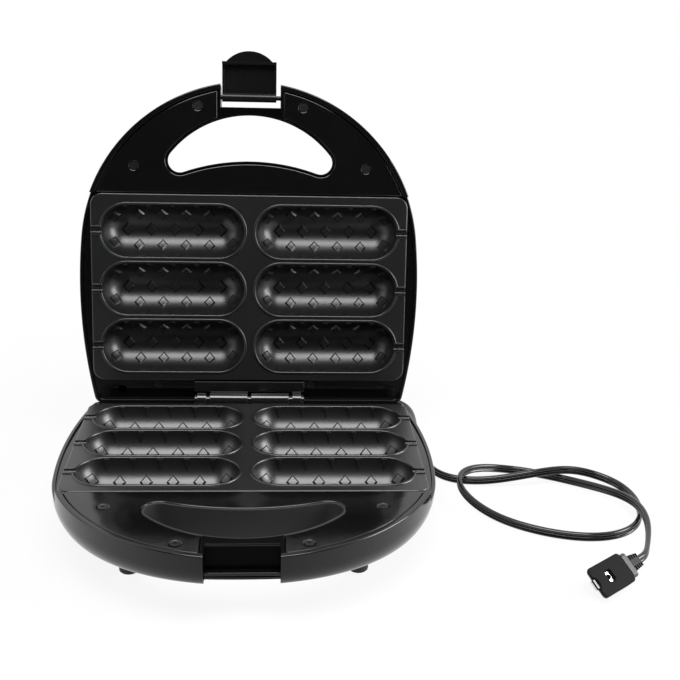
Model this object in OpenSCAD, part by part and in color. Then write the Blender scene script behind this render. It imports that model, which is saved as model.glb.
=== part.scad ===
// Corn dog maker: two cast plates with six moulds each, in hinged plastic housings with a front latch.
// Millimetres. X to the right, Y to the back, Z up, origin on the table under the middle of the open machine.
// Shapes are drawn around the middle of the lower plate's cooking face, then moved to their place.

/* [Plates] */
// Width of each cooking plate
plate_w = 220; // [214:1:222]
// Depth of each cooking plate, front to back
plate_d = 131; // [130:0.5:131.5]
// Corner radius of the plates
plate_corner_r = 8; // [5:0.5:9]
// Thickness of the cast plate
plate_t = 3; // [2.6:0.1:3.4]
// Height of the plate from its cooking face to the foot of its skirt
skirt_h = 8; // [7.5:0.1:8.5]
// Thickness of the skirt
skirt_t = 2.4; // [2:0.1:2.8]

/* [Moulds] */
// Length of a mould's hollow
mould_len = 97.4; // [94:0.2:98]
// Radius of the round hollow that two facing moulds close around
mould_r = 17.2; // [16.4:0.1:17.3]
// Wall of the bowl under each mould
bowl_wall = 2.4; // [2:0.1:2.5]
// Distance between the rows of moulds
mould_row_pitch = 40.5; // [40.2:0.1:41]
// Distance between the two columns of moulds
mould_column_pitch = 107; // [105:0.5:108]
// Width of the raised bead around each mould
bead_w = 2.4; // [1.8:0.1:2.8]
// Height of the raised bead
bead_h = 0.7; // [0.5:0.1:1]
// Gap between facing beads when the lid is shut
bead_gap = 0.4; // [0.3:0.1:0.8]
// Radius of the stick groove
groove_r = 2.2; // [1.8:0.1:2.6]
// Width of the bead along each side of a stick groove
groove_bead_w = 1.2; // [0.8:0.1:1.6]

/* [Diamond pattern] */
// Width of a diamond along the mould
diamond_w = 8; // [7:0.2:9]
// Height of a diamond around the mould
diamond_h = 9.4; // [8:0.2:10]
// Rise of a diamond above the mould's wall
diamond_rise = 0.9; // [0.6:0.1:1.2]
// Distance between diamonds along the mould
diamond_pitch = 16.4; // [15.6:0.1:17]
// Angle between the rows of diamonds around the mould
diamond_row_angle = 38; // [36:0.5:40]

/* [Housings] */
// Radius of the round front
front_r = 118; // [116.5:0.1:120]
// Distance from the plate's middle forward to the centre of the round front
front_centre = 24.4; // [23.4:0.1:25.4]
// Radius of the gently curved sides
side_r = 361; // [340:1:380]
// Distance from the plate's rear edge back to the rear wall
rear_margin = 18.5; // [17.9:0.1:19.1]
// Radius of the rear corners
rear_corner_r = 12; // [9:0.5:14]
// Wall thickness of the housings
wall_t = 2.6; // [2.2:0.1:3]
// Width of the rim around the handle
rim_w = 3.6; // [3.2:0.1:4]
// Depth of a housing from the cooking face to its flat belly
housing_depth = 36; // [34.5:0.5:40]
// Depth of the straight part of the wall
wall_straight = 9; // [8.6:0.1:9.6]
// Depth of the handle
handle_depth = 20; // [19.8:0.1:21]
// Radius under the handle's front edge
handle_fillet = 10; // [8:0.5:11]
// Inset of the belly at the sides
belly_side_inset = 34; // [30:0.5:36]
// Inset of the belly under the handle
belly_front_inset = 62; // [60:0.5:63]
// Inset of the belly at the rear
belly_rear_inset = 9; // [7:0.5:10]
// Gap between the two handle rims when the lid is shut
rim_gap = 0.4; // [0.3:0.1:0.8]
// Thickness of the deck that carries the plate
deck_t = 2.5; // [2:0.1:3]
// Width of the deck's ledge inside the plate's edge
deck_ledge = 4.4; // [3.6:0.1:4.8]

/* [Handle] */
// Radius of the two ends of the finger opening
grip_end_r = 8; // [7:0.5:8.5]
// Distance from the middle to the centre of each end of the opening
grip_end_x = 48.5; // [46:0.5:49]
// Distance from the plate's middle forward to the ends of the opening
grip_end_y = 88.3; // [88:0.1:89]
// Radius of the opening's front edge
grip_front_r = 70.3; // [68:0.1:72]
// Radius of the opening's rear edge
grip_rear_r = 139.5; // [136:0.5:144]
// Wall around the finger opening
collar_t = 2.4; // [2:0.1:2.8]
// Thickness of the handle panel
panel_t = 2.4; // [2:0.1:2.8]
// Step from the rim down to the panel
panel_step = 0.6; // [0.4:0.1:1]
// Gap around the panel
panel_gap = 0.2; // [0.15:0.05:0.4]

/* [Latch] */
// Half the width of the notch for the latch
notch_half_w = 20.5; // [20:0.1:21]
// Distance from the plate's middle forward to the back of the notch in the lid
lid_notch_y = 124.9; // [124.6:0.1:125.4]
// Distance from the plate's middle forward to the back of the notch in the base
base_notch_y = 127; // [126.6:0.1:127.4]
// Wall beside the notch
notch_wall = 2; // [1.8:0.1:2.4]
// Distance from the plate's middle forward to the latch's pivot
latch_pivot_y = 131.5; // [131.2:0.1:131.8]
// Height of the latch's pivot above the meeting plane when the lid is shut
latch_pivot_h = 3.6; // [3.5:0.1:3.8]
// Width of the latch
latch_w = 37; // [35:0.5:38]
// Thickness of the latch's plate
latch_t = 2; // [1.8:0.1:2.2]
// Radius of the latch's pivot barrel
latch_barrel_r = 2.9; // [2.8:0.1:3]
// Radius of the latch's pin
latch_pin_r = 1.5; // [1.3:0.1:1.6]
// Depth of the catch bar, front to back
catch_bar_d = 4; // [3.6:0.1:4.2]
// Height of the catch bar
catch_bar_h = 2; // [1.8:0.1:2.4]
// Gap between the latch's hook and the catch bar
hook_gap = 0.4; // [0.35:0.05:0.6]
// Thickness of the latch's hook
hook_t = 2; // [1.6:0.1:2.4]
// Reach of the hook under the catch bar
hook_reach = 2.6; // [2:0.1:2.8]
// Half the width of the thumb tab
tab_half_w = 16; // [15:0.5:17]
// Length of the thumb tab
tab_len = 7.3; // [6.5:0.1:8]
// Height of the catch bar above the handle's underside
catch_lift = 3; // [2.6:0.1:3.4]
// Side play that the latch has taken up as it rests
latch_slide = -1; // [-1.2:0.1:0]

/* [Hinge] */
// Distance from the plate's rear edge back to the hinge's axis
hinge_margin = 13.1; // [12.9:0.1:13.3]
// Distance from the lower plate's cooking face down to the hinge's axis
hinge_drop = 2.6; // [2.4:0.1:2.8]
// Angle of the lid, open as it rests
open_angle = 100; // [95:1:102]
// Radius of the hinge's knuckles
knuckle_r = 4.75; // [4.6:0.05:4.9]
// Radius of the hinge's pin
hinge_pin_r = 2.5; // [2.2:0.1:2.8]
// Clearance around a turning pin
pin_clearance = 0.05; // [0.03:0.01:0.08]
// Thickness of the hinge's leaves
leaf_t = 1.5; // [1.3:0.1:1.7]
// Half the width of the hinge
hinge_half_w = 36.8; // [36:0.1:37.4]
// Width of each short knuckle
knuckle_short = 6.4; // [6:0.1:6.8]
// Gap between neighbouring knuckles
knuckle_gap = 2.6; // [2.2:0.1:3]

/* [Screws] */
// Radius of a screw's head
screw_head_r = 2.8; // [2.6:0.1:3]
// Height of a screw's head
screw_head_h = 1.4; // [1.2:0.1:1.5]
// Radius of a screw's shank
screw_r = 1.4; // [1.3:0.05:1.5]
// Length of a screw's shank
screw_len = 9; // [8:0.5:10]
// Clearance around a screw
screw_clearance = 0.15; // [0.1:0.05:0.2]
// Wall of the boss around a screw
boss_wall = 2.2; // [1.8:0.1:2.6]

/* [Feet] */
// Height of the rubber feet
foot_h = 8; // [6:0.5:10]
// Radius of the rubber feet
foot_r = 6.5; // [5.5:0.1:7]
// Distance from the middle to the feet, left and right
foot_x = 67; // [64:0.5:68]
// Distance from the plate's middle forward to the front feet
foot_front_y = 80; // [78:0.5:82]
// Distance from the rear wall forward to the rear feet
foot_rear_margin = 22; // [20:0.5:26]

/* [Heating] */
// Radius of the heating rods
rod_r = 3.25; // [3:0.05:3.4]
// Half the length of a heating rod
rod_half_len = 92; // [88:0.5:94]
// Length of the terminal at each end of a rod
rod_terminal = 8; // [6:0.5:8.5]
// Gap between a rod and the bowls beside it
rod_gap = 0.3; // [0.2:0.05:0.5]
// Thickness of the reflector
reflector_t = 0.8; // [0.6:0.1:1]
// Inset of the reflector from the plate's edge
reflector_inset = 12; // [11:0.5:14]
// Seating gap between stacked pieces
seat_gap = 0.1; // [0.05:0.05:0.2]

/* [Cord] */
// Width of the flat twin lead
cord_w = 5.4; // [5:0.1:5.6]
// Thickness of the flat twin lead
cord_t = 3.2; // [2.8:0.1:3.4]
// Distance from the middle to the cord's exit in the rear wall
cord_exit_x = 76; // [74:0.5:78]
// Height of the cord's exit above the table
cord_exit_h = 22; // [20:0.5:23]
// Radius of the flange of the cord's bush
bush_flange_r = 7; // [6.5:0.1:7.5]
// Thickness of the flange
bush_flange_t = 2; // [1.6:0.1:2.4]
// Length of the bush's tapered tail
bush_tail = 28; // [24:1:30]
// Radius of the bush's neck in the wall
bush_neck_r = 4.5; // [4.2:0.1:5]

/* [Plug] */
// Length of the sleeve over the blades
sleeve_len = 30.5; // [29:0.5:32]
// Width of the sleeve
sleeve_w = 18.8; // [18:0.1:19]
// Thickness of the sleeve
sleeve_t = 7.5; // [7:0.1:7.6]
// Wall of the sleeve
sleeve_wall = 1.4; // [1.2:0.1:1.6]
// Length of the plug's body behind the sleeve
plug_body_len = 4; // [3.5:0.5:5]
// Width of the plug's body
plug_body_w = 15.5; // [14.5:0.5:17]
// Length of the plug's strain relief
relief_len = 9; // [8:0.5:10]
// Roll of the plug about its own length, as it lies
plug_roll = -37; // [-38:1:-34]
// Width of a blade
blade_w = 6.3; // [6:0.1:6.4]
// Thickness of a blade
blade_t = 1.5; // [1.3:0.1:1.6]

/* [Hidden] */
$fn = 64;
eps = 0.01;

// Distance from the lower plate's middle back to the middle of the open machine
middle_back = 2.7;

// Heights, measured from the lower plate's cooking face
plate_z = foot_h + housing_depth;
plate_gap = 2 * bead_h + bead_gap;
mid_z = plate_gap / 2;
rim_z = mid_z - rim_gap / 2;
panel_z = rim_z - panel_step;
deck_z = -skirt_h - seat_gap;
mould_half = mould_len / 2 - mould_r;
bowl_r = mould_r + bowl_wall;
bowl_bottom = mid_z - bowl_r;
rod_z = mid_z - sqrt(pow(bowl_r + rod_r + rod_gap, 2) - pow(mould_row_pitch / 2, 2));
reflector_z = bowl_bottom - rod_gap;

// Plan of the housings
plate_back = plate_d / 2;
rear_y = plate_back + rear_margin;
hinge_y = plate_back + hinge_margin;
foot_rear_y = rear_y - foot_rear_margin;
side_centre = sqrt(pow(side_r - front_r, 2) - pow(front_centre, 2));
side_start = -atan2(front_centre, side_centre);
handle_y = -plate_d / 2 - panel_gap * 2;
front_steps = 15;
side_steps = 7;
corner_steps = 4;
sweep_steps = 5;
corner_min_r = 6;
sweep_share = 0.8;
deck_lip = 4;

// Places of the screws and the posts
panel_screw_places = [[80, -84.5], [36, -125.5]];
plate_screw_place = [plate_w / 2 - 8, plate_d / 2 - 7.5];
rear_screw_margin = 4.5;
rear_screw_places = [for (x = [-65, 43.5]) [x, plate_back + rear_screw_margin]];
deck_hole_margin = 8.5;
deck_hole_place = [-91, plate_back + deck_hole_margin];
deck_hole_r = 3;
hinge_screw_x = 14;
hinge_seat_gap = 0.8;
hinge_seat_d = 7;
leaf_gap = 1.6;
leaf_clearance = 1.4;
leaf_cover = 1;
base_leaf_z = -hinge_drop - knuckle_r;
lid_leaf_z = plate_gap + hinge_drop - knuckle_r;
hinge_screw_margin = 4.3;
hinge_screw_y = plate_back + hinge_screw_margin;
reflector_post_place = [58, 32];
boss_r = screw_r + boss_wall;
lamp_place = [10, -62];
lamp_half = [5.5, 2.6];
foot_boss_h = 9;

// Latch, in the closed lid's own sense: the pivot is above the meeting plane
catch_bottom = catch_lift - handle_depth;
panel_skirt_t = 2;
panel_cut_half = notch_half_w + notch_wall + panel_gap;
latch_z = mid_z - latch_pivot_h;
latch_rail_w = 1.4;
latch_rail_h = 0.9;
hook_arm = latch_pivot_h + mid_z - catch_bottom + hook_gap;

// Place of the plug as it lies on the edge of its sleeve, and the end of its strain relief
plug_place = [209.7, -105.8, 8.8];
plug_turn = 218.5;
plug_heading = [cos(plug_turn), sin(plug_turn), 0];
relief_end = plug_place - plug_heading * (sleeve_len / 2 + plug_body_len + relief_len);
relief_w = [10.5, 8.2];
relief_t = 6.4;
relief_slots = 4;
window_x = 1.5;
window_size = [5.5, 7.5];
scallop_r = 5;
scallop_x = sleeve_len / 2 + 1.8;
blade_z = 0.6;
bush_end = [cord_exit_x, rear_y + bush_flange_t + bush_tail, cord_exit_h];

// Route of the cord along the table, standing on its edge, from the bush to the plug
cord_route = [
    bush_end, bush_end + [0, 13, 0], [76, 142, 15.6], [79.5, 159, 8.4], [95, 171.5, 3.6],
    [116, 168, 2.9], [128, 148, 2.9], [123.5, 100, 2.9], [124, 54, 2.9], [132.5, 34.5, 2.9],
    [148, 27, 2.9], [168, 24.5, 4.6], [191, 24.5, 9], [213, 29, 10.8], [230, 33.5, 7.8],
    [246, 30.5, 4], [256.5, 19, 2.9], [260.5, -2, 2.9], [256.5, -24.5, 2.9], [244.5, -42, 2.9],
    [226, -50.5, 2.9], [204, -49.5, 2.9], [181, -40.5, 2.9], [161, -25.5, 2.9], [146, -8, 6],
    [140, 9, 10], [145, 25, 11], [159, 36.5, 8.6], [176, 43.5, 4.4], [195.5, 41.5, 2.9],
    [215.5, 31.5, 2.9], [234.5, 17, 4.2], [248, -0.5, 7.4], [254.5, -19.5, 10], [255, -37.5, 9],
    [250.5, -54.5, 7.8], [244.5, -70, 7.8], relief_end - plug_heading * 10, relief_end
];
cord_steps = 2;
cord_sides = 10;

// Colours
black_gloss = [0.06, 0.06, 0.065];
black_satin = [0.1, 0.1, 0.1];
coated_grey = [0.2, 0.2, 0.21];
bright_steel = [0.82, 0.83, 0.85];
rubber_black = [0.07, 0.07, 0.07];
red_lens = [0.75, 0.05, 0.05];
green_lens = [0.1, 0.6, 0.15];
ceramic_white = [0.9, 0.9, 0.87];

// Placing: what stands on the table is drawn from the point under the lower plate's middle
module on_table() {
    translate([0, -middle_back, 0]) children();
}

module in_base() {
    on_table() translate([0, 0, plate_z]) children();
}

// The lid is the base mirrored on the meeting plane and turned back about the hinge
module in_lid() {
    in_base()
        translate([0, hinge_y, -hinge_drop])
            rotate([-open_angle, 0, 0])
                translate([0, -hinge_y, plate_gap + hinge_drop])
                    mirror([0, 0, 1]) children();
}

module both_sides() {
    children();
    mirror([1, 0, 0]) children();
}

module four_corners(place) {
    for (x = [-1, 1], y = [-1, 1])
        translate([x * place[0], y * place[1], 0]) children();
}

// Plane shapes
module rounded_rect(w, d, r) {
    square([w - 2 * r, d], center = true);
    square([w, d - 2 * r], center = true);
    for (x = [-1, 1], y = [-1, 1])
        translate([x * (w / 2 - r), y * (d / 2 - r)]) circle(r);
}

module stadium(half_len, r) {
    square([2 * half_len, 2 * r], center = true);
    for (x = [-1, 1])
        translate([x * half_len, 0]) circle(r);
}

// The finger opening: two arcs that run into a round end on each side, grown outwards by a wall
function grip_front_centre() = -grip_end_y + sqrt(pow(grip_front_r - grip_end_r, 2) - pow(grip_end_x, 2));
function grip_rear_centre() = -grip_end_y + sqrt(pow(grip_rear_r + grip_end_r, 2) - pow(grip_end_x, 2));
module grip_opening(grow = 0) {
    front_c = grip_front_centre();
    rear_c = grip_rear_centre();
    to_front = [grip_end_x, -grip_end_y - front_c] / (grip_front_r - grip_end_r);
    to_rear = [-grip_end_x, grip_end_y + rear_c] / (grip_rear_r + grip_end_r);
    reach = grip_front_r;
    ends = [grip_end_x, -grip_end_y];
    clip = [ends + to_front * reach, ends, ends + to_rear * reach];
    intersection() {
        difference() {
            translate([0, front_c]) circle(grip_front_r + grow, $fn = 128);
            translate([0, rear_c]) circle(grip_rear_r - grow, $fn = 180);
        }
        polygon([for (p = clip) p, for (i = [2:-1:0]) [-clip[i][0], clip[i][1]]]);
    }
    for (x = [-1, 1])
        translate([x * grip_end_x, -grip_end_y]) circle(grip_end_r + grow);
}

// Housing outline: half a plan from the front's middle round the right side to the rear's middle
function mix(a, b, t) = a + (b - a) * t;
function front_share(angle) = pow(max(0, (sin(side_start) - sin(angle)) / (1 + sin(side_start))), 1.5);
function corner_r(inset) = max(rear_corner_r - inset, corner_min_r);
function corner_x(side_in, rear_in, r) =
    -side_centre + sqrt(pow(side_r - side_in - r, 2) - pow(rear_y - rear_in - r, 2));

// One level: [inset, height] at the sides, under the front and at the rear
function half_plan(side, front, rear) =
    let (
        r = corner_r(rear[0]),
        cx = corner_x(side[0], rear[0], r),
        cy = rear_y - rear[0] - r,
        side_end = atan2(cy, cx + side_centre)
    )
    concat(
        [for (i = [0:front_steps])
            let (
                a = mix(-90, side_start, i / front_steps),
                f = front_share(a),
                in = mix(side[0], front[0], f)
            )
            [(front_r - in) * cos(a), -front_centre + (front_r - in) * sin(a), mix(side[1], front[1], f)]],
        [for (i = [1:side_steps])
            let (a = mix(side_start, side_end, i / side_steps), t = pow(i / side_steps, 3))
            [
                -side_centre + (side_r - side[0]) * cos(a),
                (side_r - side[0]) * sin(a),
                mix(side[1], rear[1], t)
            ]],
        [for (i = [1:corner_steps])
            let (a = mix(side_end, 90, i / corner_steps))
            [cx + r * cos(a), cy + r * sin(a), rear[1]]]
    );
function plan_ring(side, front, rear) =
    let (half = half_plan(side, front, rear), n = len(half))
    concat(half, [for (i = [n - 1:-1:1]) [-half[i][0], half[i][1], half[i][2]]]);

// Levels of a wall that drops straight and then sweeps under to the belly, set in by a wall thickness
function sweep_level(angle, t) =
    let (
        turn = 1 - cos(angle),
        in = t * cos(angle),
        start = t * sin(angle) - wall_straight,
        belly_z = start - (housing_depth - wall_straight) * sin(angle),
        handle_z = start - (handle_depth - wall_straight) * sin(angle)
    )
    [
        [in + belly_side_inset * sweep_share * turn, belly_z],
        [in + handle_fillet * turn, handle_z],
        [in + belly_rear_inset * turn, belly_z]
    ];
function belly_level(t) = [
    [belly_side_inset + t, t - housing_depth],
    [belly_front_inset + t, t - housing_depth],
    [belly_rear_inset + 2 + t, t - housing_depth]
];
function level_ring(level) = plan_ring(level[0], level[1], level[2]);
function flat_ring(inset, z) = plan_ring([inset, z], [inset, z], [inset, z]);
function skin_rings(t) = concat(
    [level_ring(belly_level(t))],
    [for (i = [sweep_steps:-1:0]) level_ring(sweep_level(90 * i / sweep_steps, t))]
);
function reverse(list) = [for (i = [len(list) - 1:-1:0]) list[i]];

// Closed solid through a stack of rings, capped at both ends
module loft(rings) {
    n = len(rings[0]);
    m = len(rings);
    polyhedron(
        points = [for (ring = rings) each ring],
        faces = concat(
            [[for (i = [0:n - 1]) i]],
            [for (j = [0:m - 2], i = [0:n - 1]) each
                let (a = j * n + i, b = j * n + (i + 1) % n)
                [[a, b + n, b], [a, a + n, b + n]]],
            [[for (i = [n - 1:-1:0]) (m - 1) * n + i]]
        )
    );
}

module housing_cup() {
    loft(concat(
        skin_rings(0),
        [flat_ring(0, rim_z), flat_ring(rim_w, rim_z), flat_ring(rim_w, -wall_straight + 2)],
        reverse(skin_rings(wall_t))
    ));
}

module housing_core() {
    loft(concat(skin_rings(wall_t / 2), [flat_ring(wall_t / 2, rim_z)]));
}

module plan_polygon(inset) {
    polygon([for (p = flat_ring(inset, 0)) [p[0], p[1]]]);
}

module screw_boss(place, top, r = boss_r) {
    translate([place[0], place[1], -housing_depth]) cylinder(r = r, h = housing_depth + top);
}

module pilot(place, top, depth = screw_len + 1) {
    translate([place[0], place[1], top - depth])
        cylinder(r = screw_r + screw_clearance, h = depth + eps);
}

module deck() {
    difference() {
        translate([0, 0, deck_z - deck_t]) linear_extrude(deck_t)
            intersection() {
                plan_polygon(wall_t / 2);
                translate([-2 * plate_w, handle_y - deck_lip]) square([4 * plate_w, 4 * plate_d]);
            }
        translate([0, 0, deck_z - deck_t - 1]) linear_extrude(deck_t + 2)
            difference() {
                rounded_rect(plate_w - 2 * deck_ledge, plate_d - 2 * deck_ledge, plate_corner_r);
                for (x = [-1, 1], y = [-1, 1])
                    translate([x * plate_screw_place[0], y * plate_screw_place[1]])
                        circle(boss_r);
            }
    }
}

// Seat of a hinge leaf on the deck, up to the given height
module hinge_seat(top) {
    translate([-hinge_half_w - 2, plate_d / 2 + hinge_seat_gap, deck_z - deck_t / 2])
        cube([2 * hinge_half_w + 4, hinge_seat_d, top - deck_z + deck_t / 2]);
}

// Shared by both halves, before the latch's notch is cut
module housing(seat_top) {
    difference() {
        union() {
            difference() {
                housing_cup();
                translate([-2 * plate_w, handle_y, deck_z])
                    cube([4 * plate_w, 4 * plate_d, housing_depth]);
            }
            intersection() {
                housing_core();
                union() {
                    translate([0, 0, -housing_depth])
                        linear_extrude(housing_depth + panel_z - panel_t - seat_gap) grip_opening(collar_t);
                    translate([-notch_half_w - notch_wall, -front_centre - front_r, -housing_depth])
                        cube([
                            2 * (notch_half_w + notch_wall),
                            front_centre + front_r - grip_end_y - grip_end_r,
                            housing_depth + panel_z
                        ]);
                    both_sides()
                        for (place = panel_screw_places)
                            screw_boss(place, panel_z - panel_t - seat_gap);
                    four_corners(reflector_post_place)
                        translate([0, 0, -housing_depth])
                            cylinder(r = boss_r, h = housing_depth + reflector_z - reflector_t - seat_gap);
                }
            }
            deck();
            hinge_seat(seat_top);
        }
        translate([0, 0, -2 * housing_depth]) linear_extrude(4 * housing_depth) grip_opening();
        both_sides()
            for (place = panel_screw_places)
                pilot(place, panel_z - panel_t);
        four_corners(plate_screw_place)
            translate([0, 0, deck_z - deck_t - 1])
                cylinder(r = screw_r + screw_clearance, h = deck_t + 2);
    }
}

module latch_notch(notch_y) {
    translate([-notch_half_w, -2 * front_r, -2 * housing_depth])
        cube([2 * notch_half_w, 2 * front_r - notch_y, 4 * housing_depth]);
}

module lower_housing() {
    color(black_gloss) in_base()
        difference() {
            union() {
                difference() {
                    housing(base_leaf_z);
                    latch_notch(base_notch_y);
                }
                translate([-notch_half_w - 1, -base_notch_y - catch_bar_d, catch_bottom])
                    cube([2 * notch_half_w + 2, catch_bar_d + 1, catch_bar_h]);
                both_sides()
                    translate([foot_x, -foot_front_y, -housing_depth])
                        cylinder(r = foot_r - 0.8, h = foot_boss_h);
                translate([cord_exit_x, rear_y - wall_t - 2, cord_exit_h - plate_z])
                    rotate([-90, 0, 0]) cylinder(r = bush_flange_r + 1, h = wall_t + 2);
            }
            translate([cord_exit_x, rear_y - 4 * wall_t, cord_exit_h - plate_z])
                rotate([-90, 0, 0]) cylinder(r = bush_neck_r + 0.2, h = 8 * wall_t);
            both_sides()
                pilot([hinge_screw_x, hinge_screw_y], base_leaf_z, screw_len - 3);
        }
}

module upper_housing() {
    color(black_gloss) in_lid()
        difference() {
            housing(lid_leaf_z + leaf_t + leaf_cover);
            latch_notch(lid_notch_y);
            translate([-notch_half_w - notch_wall - 1, -latch_pivot_y, latch_z])
                rotate([0, 90, 0])
                    cylinder(r = latch_pin_r + pin_clearance, h = 2 * (notch_half_w + notch_wall + 1));
            for (x = [-1, 1])
                translate([x * lamp_place[0], lamp_place[1], -2 * housing_depth])
                    linear_extrude(2 * housing_depth + reflector_z - 4)
                        stadium(lamp_half[0] - lamp_half[1] + panel_gap, lamp_half[1] + panel_gap);
            for (place = rear_screw_places)
                pilot(place, deck_z, deck_t + 1);
            translate([deck_hole_place[0], deck_hole_place[1], deck_z - deck_t - 1])
                cylinder(r = deck_hole_r, h = deck_t + 2);
            translate([-hinge_half_w - seat_gap, plate_d / 2 + leaf_gap - seat_gap, lid_leaf_z - seat_gap])
                cube([2 * (hinge_half_w + seat_gap), hinge_seat_d, leaf_t + 2 * seat_gap]);
            both_sides()
                pilot([hinge_screw_x, hinge_screw_y], lid_leaf_z, lid_leaf_z - deck_z + deck_t + 1);
        }
}

// Handle panels: a crescent plate around the finger opening, with a skirt beside the cooking plate
module handle_panel() {
    difference() {
        union() {
            translate([0, 0, panel_z - panel_t]) linear_extrude(panel_t)
                intersection() {
                    translate([0, -front_centre]) circle(front_r - rim_w - panel_gap, $fn = 180);
                    translate([-2 * plate_w, -4 * plate_d])
                        square([4 * plate_w, 4 * plate_d + handle_y - panel_gap]);
                }
            translate([-panel_skirt_half(), handle_y - panel_gap - panel_skirt_t, deck_z + seat_gap])
                cube([2 * panel_skirt_half(), panel_skirt_t, panel_z - deck_z - seat_gap]);
        }
        translate([0, 0, -housing_depth]) linear_extrude(2 * housing_depth) grip_opening();
        translate([-panel_cut_half, -2 * front_r, -housing_depth])
            cube([2 * panel_cut_half, 2 * front_r - grip_end_y - grip_end_r, 2 * housing_depth]);
        both_sides()
            for (place = panel_screw_places)
                translate([place[0], place[1], panel_z]) {
                    translate([0, 0, -screw_head_h]) cylinder(r = screw_head_r + 0.5, h = screw_head_h + 1);
                    translate([0, 0, -panel_t - 1]) cylinder(r = screw_r + screw_clearance, h = panel_t + 1);
                }
    }
}
function panel_skirt_half() =
    let (back = -handle_y - front_centre + panel_gap + panel_skirt_t)
    sqrt(pow(front_r - rim_w - panel_gap, 2) - pow(back, 2)) - seat_gap;

module lower_handle_panel() {
    color(black_gloss) in_base() handle_panel();
}

module upper_handle_panel() {
    color(black_gloss) in_lid() handle_panel();
}

// Cooking plates
module capsule(half_len, r) {
    rotate([0, 90, 0]) cylinder(r = r, h = 2 * half_len, center = true);
    for (x = [-1, 1])
        translate([x * half_len, 0, 0]) sphere(r);
}

// The right column's moulds, and the left column's as their mirror images
module at_moulds() {
    for (side = [-1, 1], row = [-1:1])
        translate([side * mould_column_pitch / 2, row * mould_row_pitch, 0])
            mirror([side < 0 ? 1 : 0, 0, 0]) children();
}

// Raised diamonds: prisms pointing out from the mould's axis, cut to a thin skin along its wall
function diamond_places() = [
    for (row = [-2:2])
        let (shift = abs(row) == 1 ? 0.5 : 0)
        for (i = [-2 - 2 * shift:2])
            [(i + shift) * diamond_pitch, row * diamond_row_angle]
];

module diamonds() {
    intersection() {
        translate([0, 0, mid_z])
            difference() {
                capsule(mould_half, mould_r + bowl_wall / 3);
                capsule(mould_half, mould_r - diamond_rise);
            }
        union()
            for (place = diamond_places())
                translate([place[0], 0, mid_z]) rotate([place[1], 0, 0])
                    translate([0, 0, -mould_r - bowl_wall])
                        linear_extrude(bowl_wall + mould_r / 2)
                            polygon([
                                [diamond_w / 2, 0], [0, diamond_h / 2],
                                [-diamond_w / 2, 0], [0, -diamond_h / 2]
                            ]);
        translate([-mould_len, -mould_len, -mould_len])
            cube([2 * mould_len, 2 * mould_len, mould_len - eps]);
    }
}

module stick_groove_bead() {
    start = mould_len / 2;
    length = plate_w / 2 - mould_column_pitch / 2 - start;
    translate([start, -groove_r - groove_bead_w, -plate_t / 2])
        cube([length, 2 * (groove_r + groove_bead_w), plate_t / 2 + bead_h]);
}

module cooking_plate() {
    difference() {
        union() {
            translate([0, 0, -plate_t]) linear_extrude(plate_t)
                rounded_rect(plate_w, plate_d, plate_corner_r);
            difference() {
                translate([0, 0, -skirt_h]) linear_extrude(skirt_h - eps)
                    rounded_rect(plate_w, plate_d, plate_corner_r);
                translate([0, 0, -skirt_h - 1]) linear_extrude(skirt_h + 1 - plate_t / 2)
                    rounded_rect(plate_w - 2 * skirt_t, plate_d - 2 * skirt_t, plate_corner_r - skirt_t);
            }
            intersection() {
                translate([0, 0, mid_z]) at_moulds() capsule(mould_half, bowl_r);
                translate([-plate_w, -plate_d, -plate_w])
                    cube([2 * plate_w, 2 * plate_d, plate_w - plate_t / 2]);
            }
            at_moulds() {
                translate([0, 0, -plate_t / 2]) linear_extrude(plate_t / 2 + bead_h)
                    stadium(mould_half, mould_r + bead_w);
                stick_groove_bead();
            }
            four_corners(plate_screw_place)
                translate([0, 0, -skirt_h]) cylinder(r = boss_r - 0.4, h = skirt_h - plate_t / 2);
        }
        translate([0, 0, mid_z]) at_moulds() {
            capsule(mould_half, mould_r);
            translate([mould_half, 0, 0]) rotate([0, 90, 0]) cylinder(r = groove_r, h = plate_w);
        }
        four_corners(plate_screw_place)
            translate([0, 0, -skirt_h - 1])
                cylinder(r = screw_r + screw_clearance, h = skirt_h - plate_t + 1.6);
    }
    at_moulds() diamonds();
}

module lower_plate() {
    color(coated_grey) in_base() cooking_plate();
}

module upper_plate() {
    color(coated_grey) in_lid() cooking_plate();
}

// Heating rods in the valleys between the bowls, each with a thinner terminal at both ends
module heating_rods() {
    for (y = [-1, 1])
        translate([0, y * mould_row_pitch / 2, rod_z]) rotate([0, 90, 0]) {
            cylinder(r = rod_r, h = 2 * rod_half_len, center = true);
            cylinder(r = rod_r * 0.55, h = 2 * (rod_half_len + rod_terminal), center = true);
        }
}

module lower_heating_rods() {
    color(bright_steel) in_base() heating_rods();
}

module upper_heating_rods() {
    color(bright_steel) in_lid() heating_rods();
}

module reflector() {
    translate([0, 0, reflector_z - reflector_t]) linear_extrude(reflector_t)
        rounded_rect(plate_w - 2 * reflector_inset, plate_d - 2 * reflector_inset, plate_corner_r);
}

module lower_reflector() {
    color(bright_steel) in_base() reflector();
}

module upper_reflector() {
    color(bright_steel) in_lid() reflector();
}

// A screw with a cross recess, its head's underside at the origin and its shank below
module screw(length = screw_len) {
    difference() {
        cylinder(r = screw_head_r, h = screw_head_h);
        for (turn = [0, 90])
            rotate([0, 0, turn]) translate([0, 0, screw_head_h])
                cube([screw_head_r * 1.2, 0.7, screw_head_h], center = true);
    }
    translate([0, 0, -length]) cylinder(r = screw_r, h = length + eps);
}

module panel_screws() {
    both_sides()
        for (place = panel_screw_places)
            translate([place[0], place[1], panel_z - screw_head_h + eps]) screw();
}

module lower_panel_screws() {
    color(bright_steel) in_base() panel_screws();
}

module upper_panel_screws() {
    color(bright_steel) in_lid() panel_screws();
}

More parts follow.
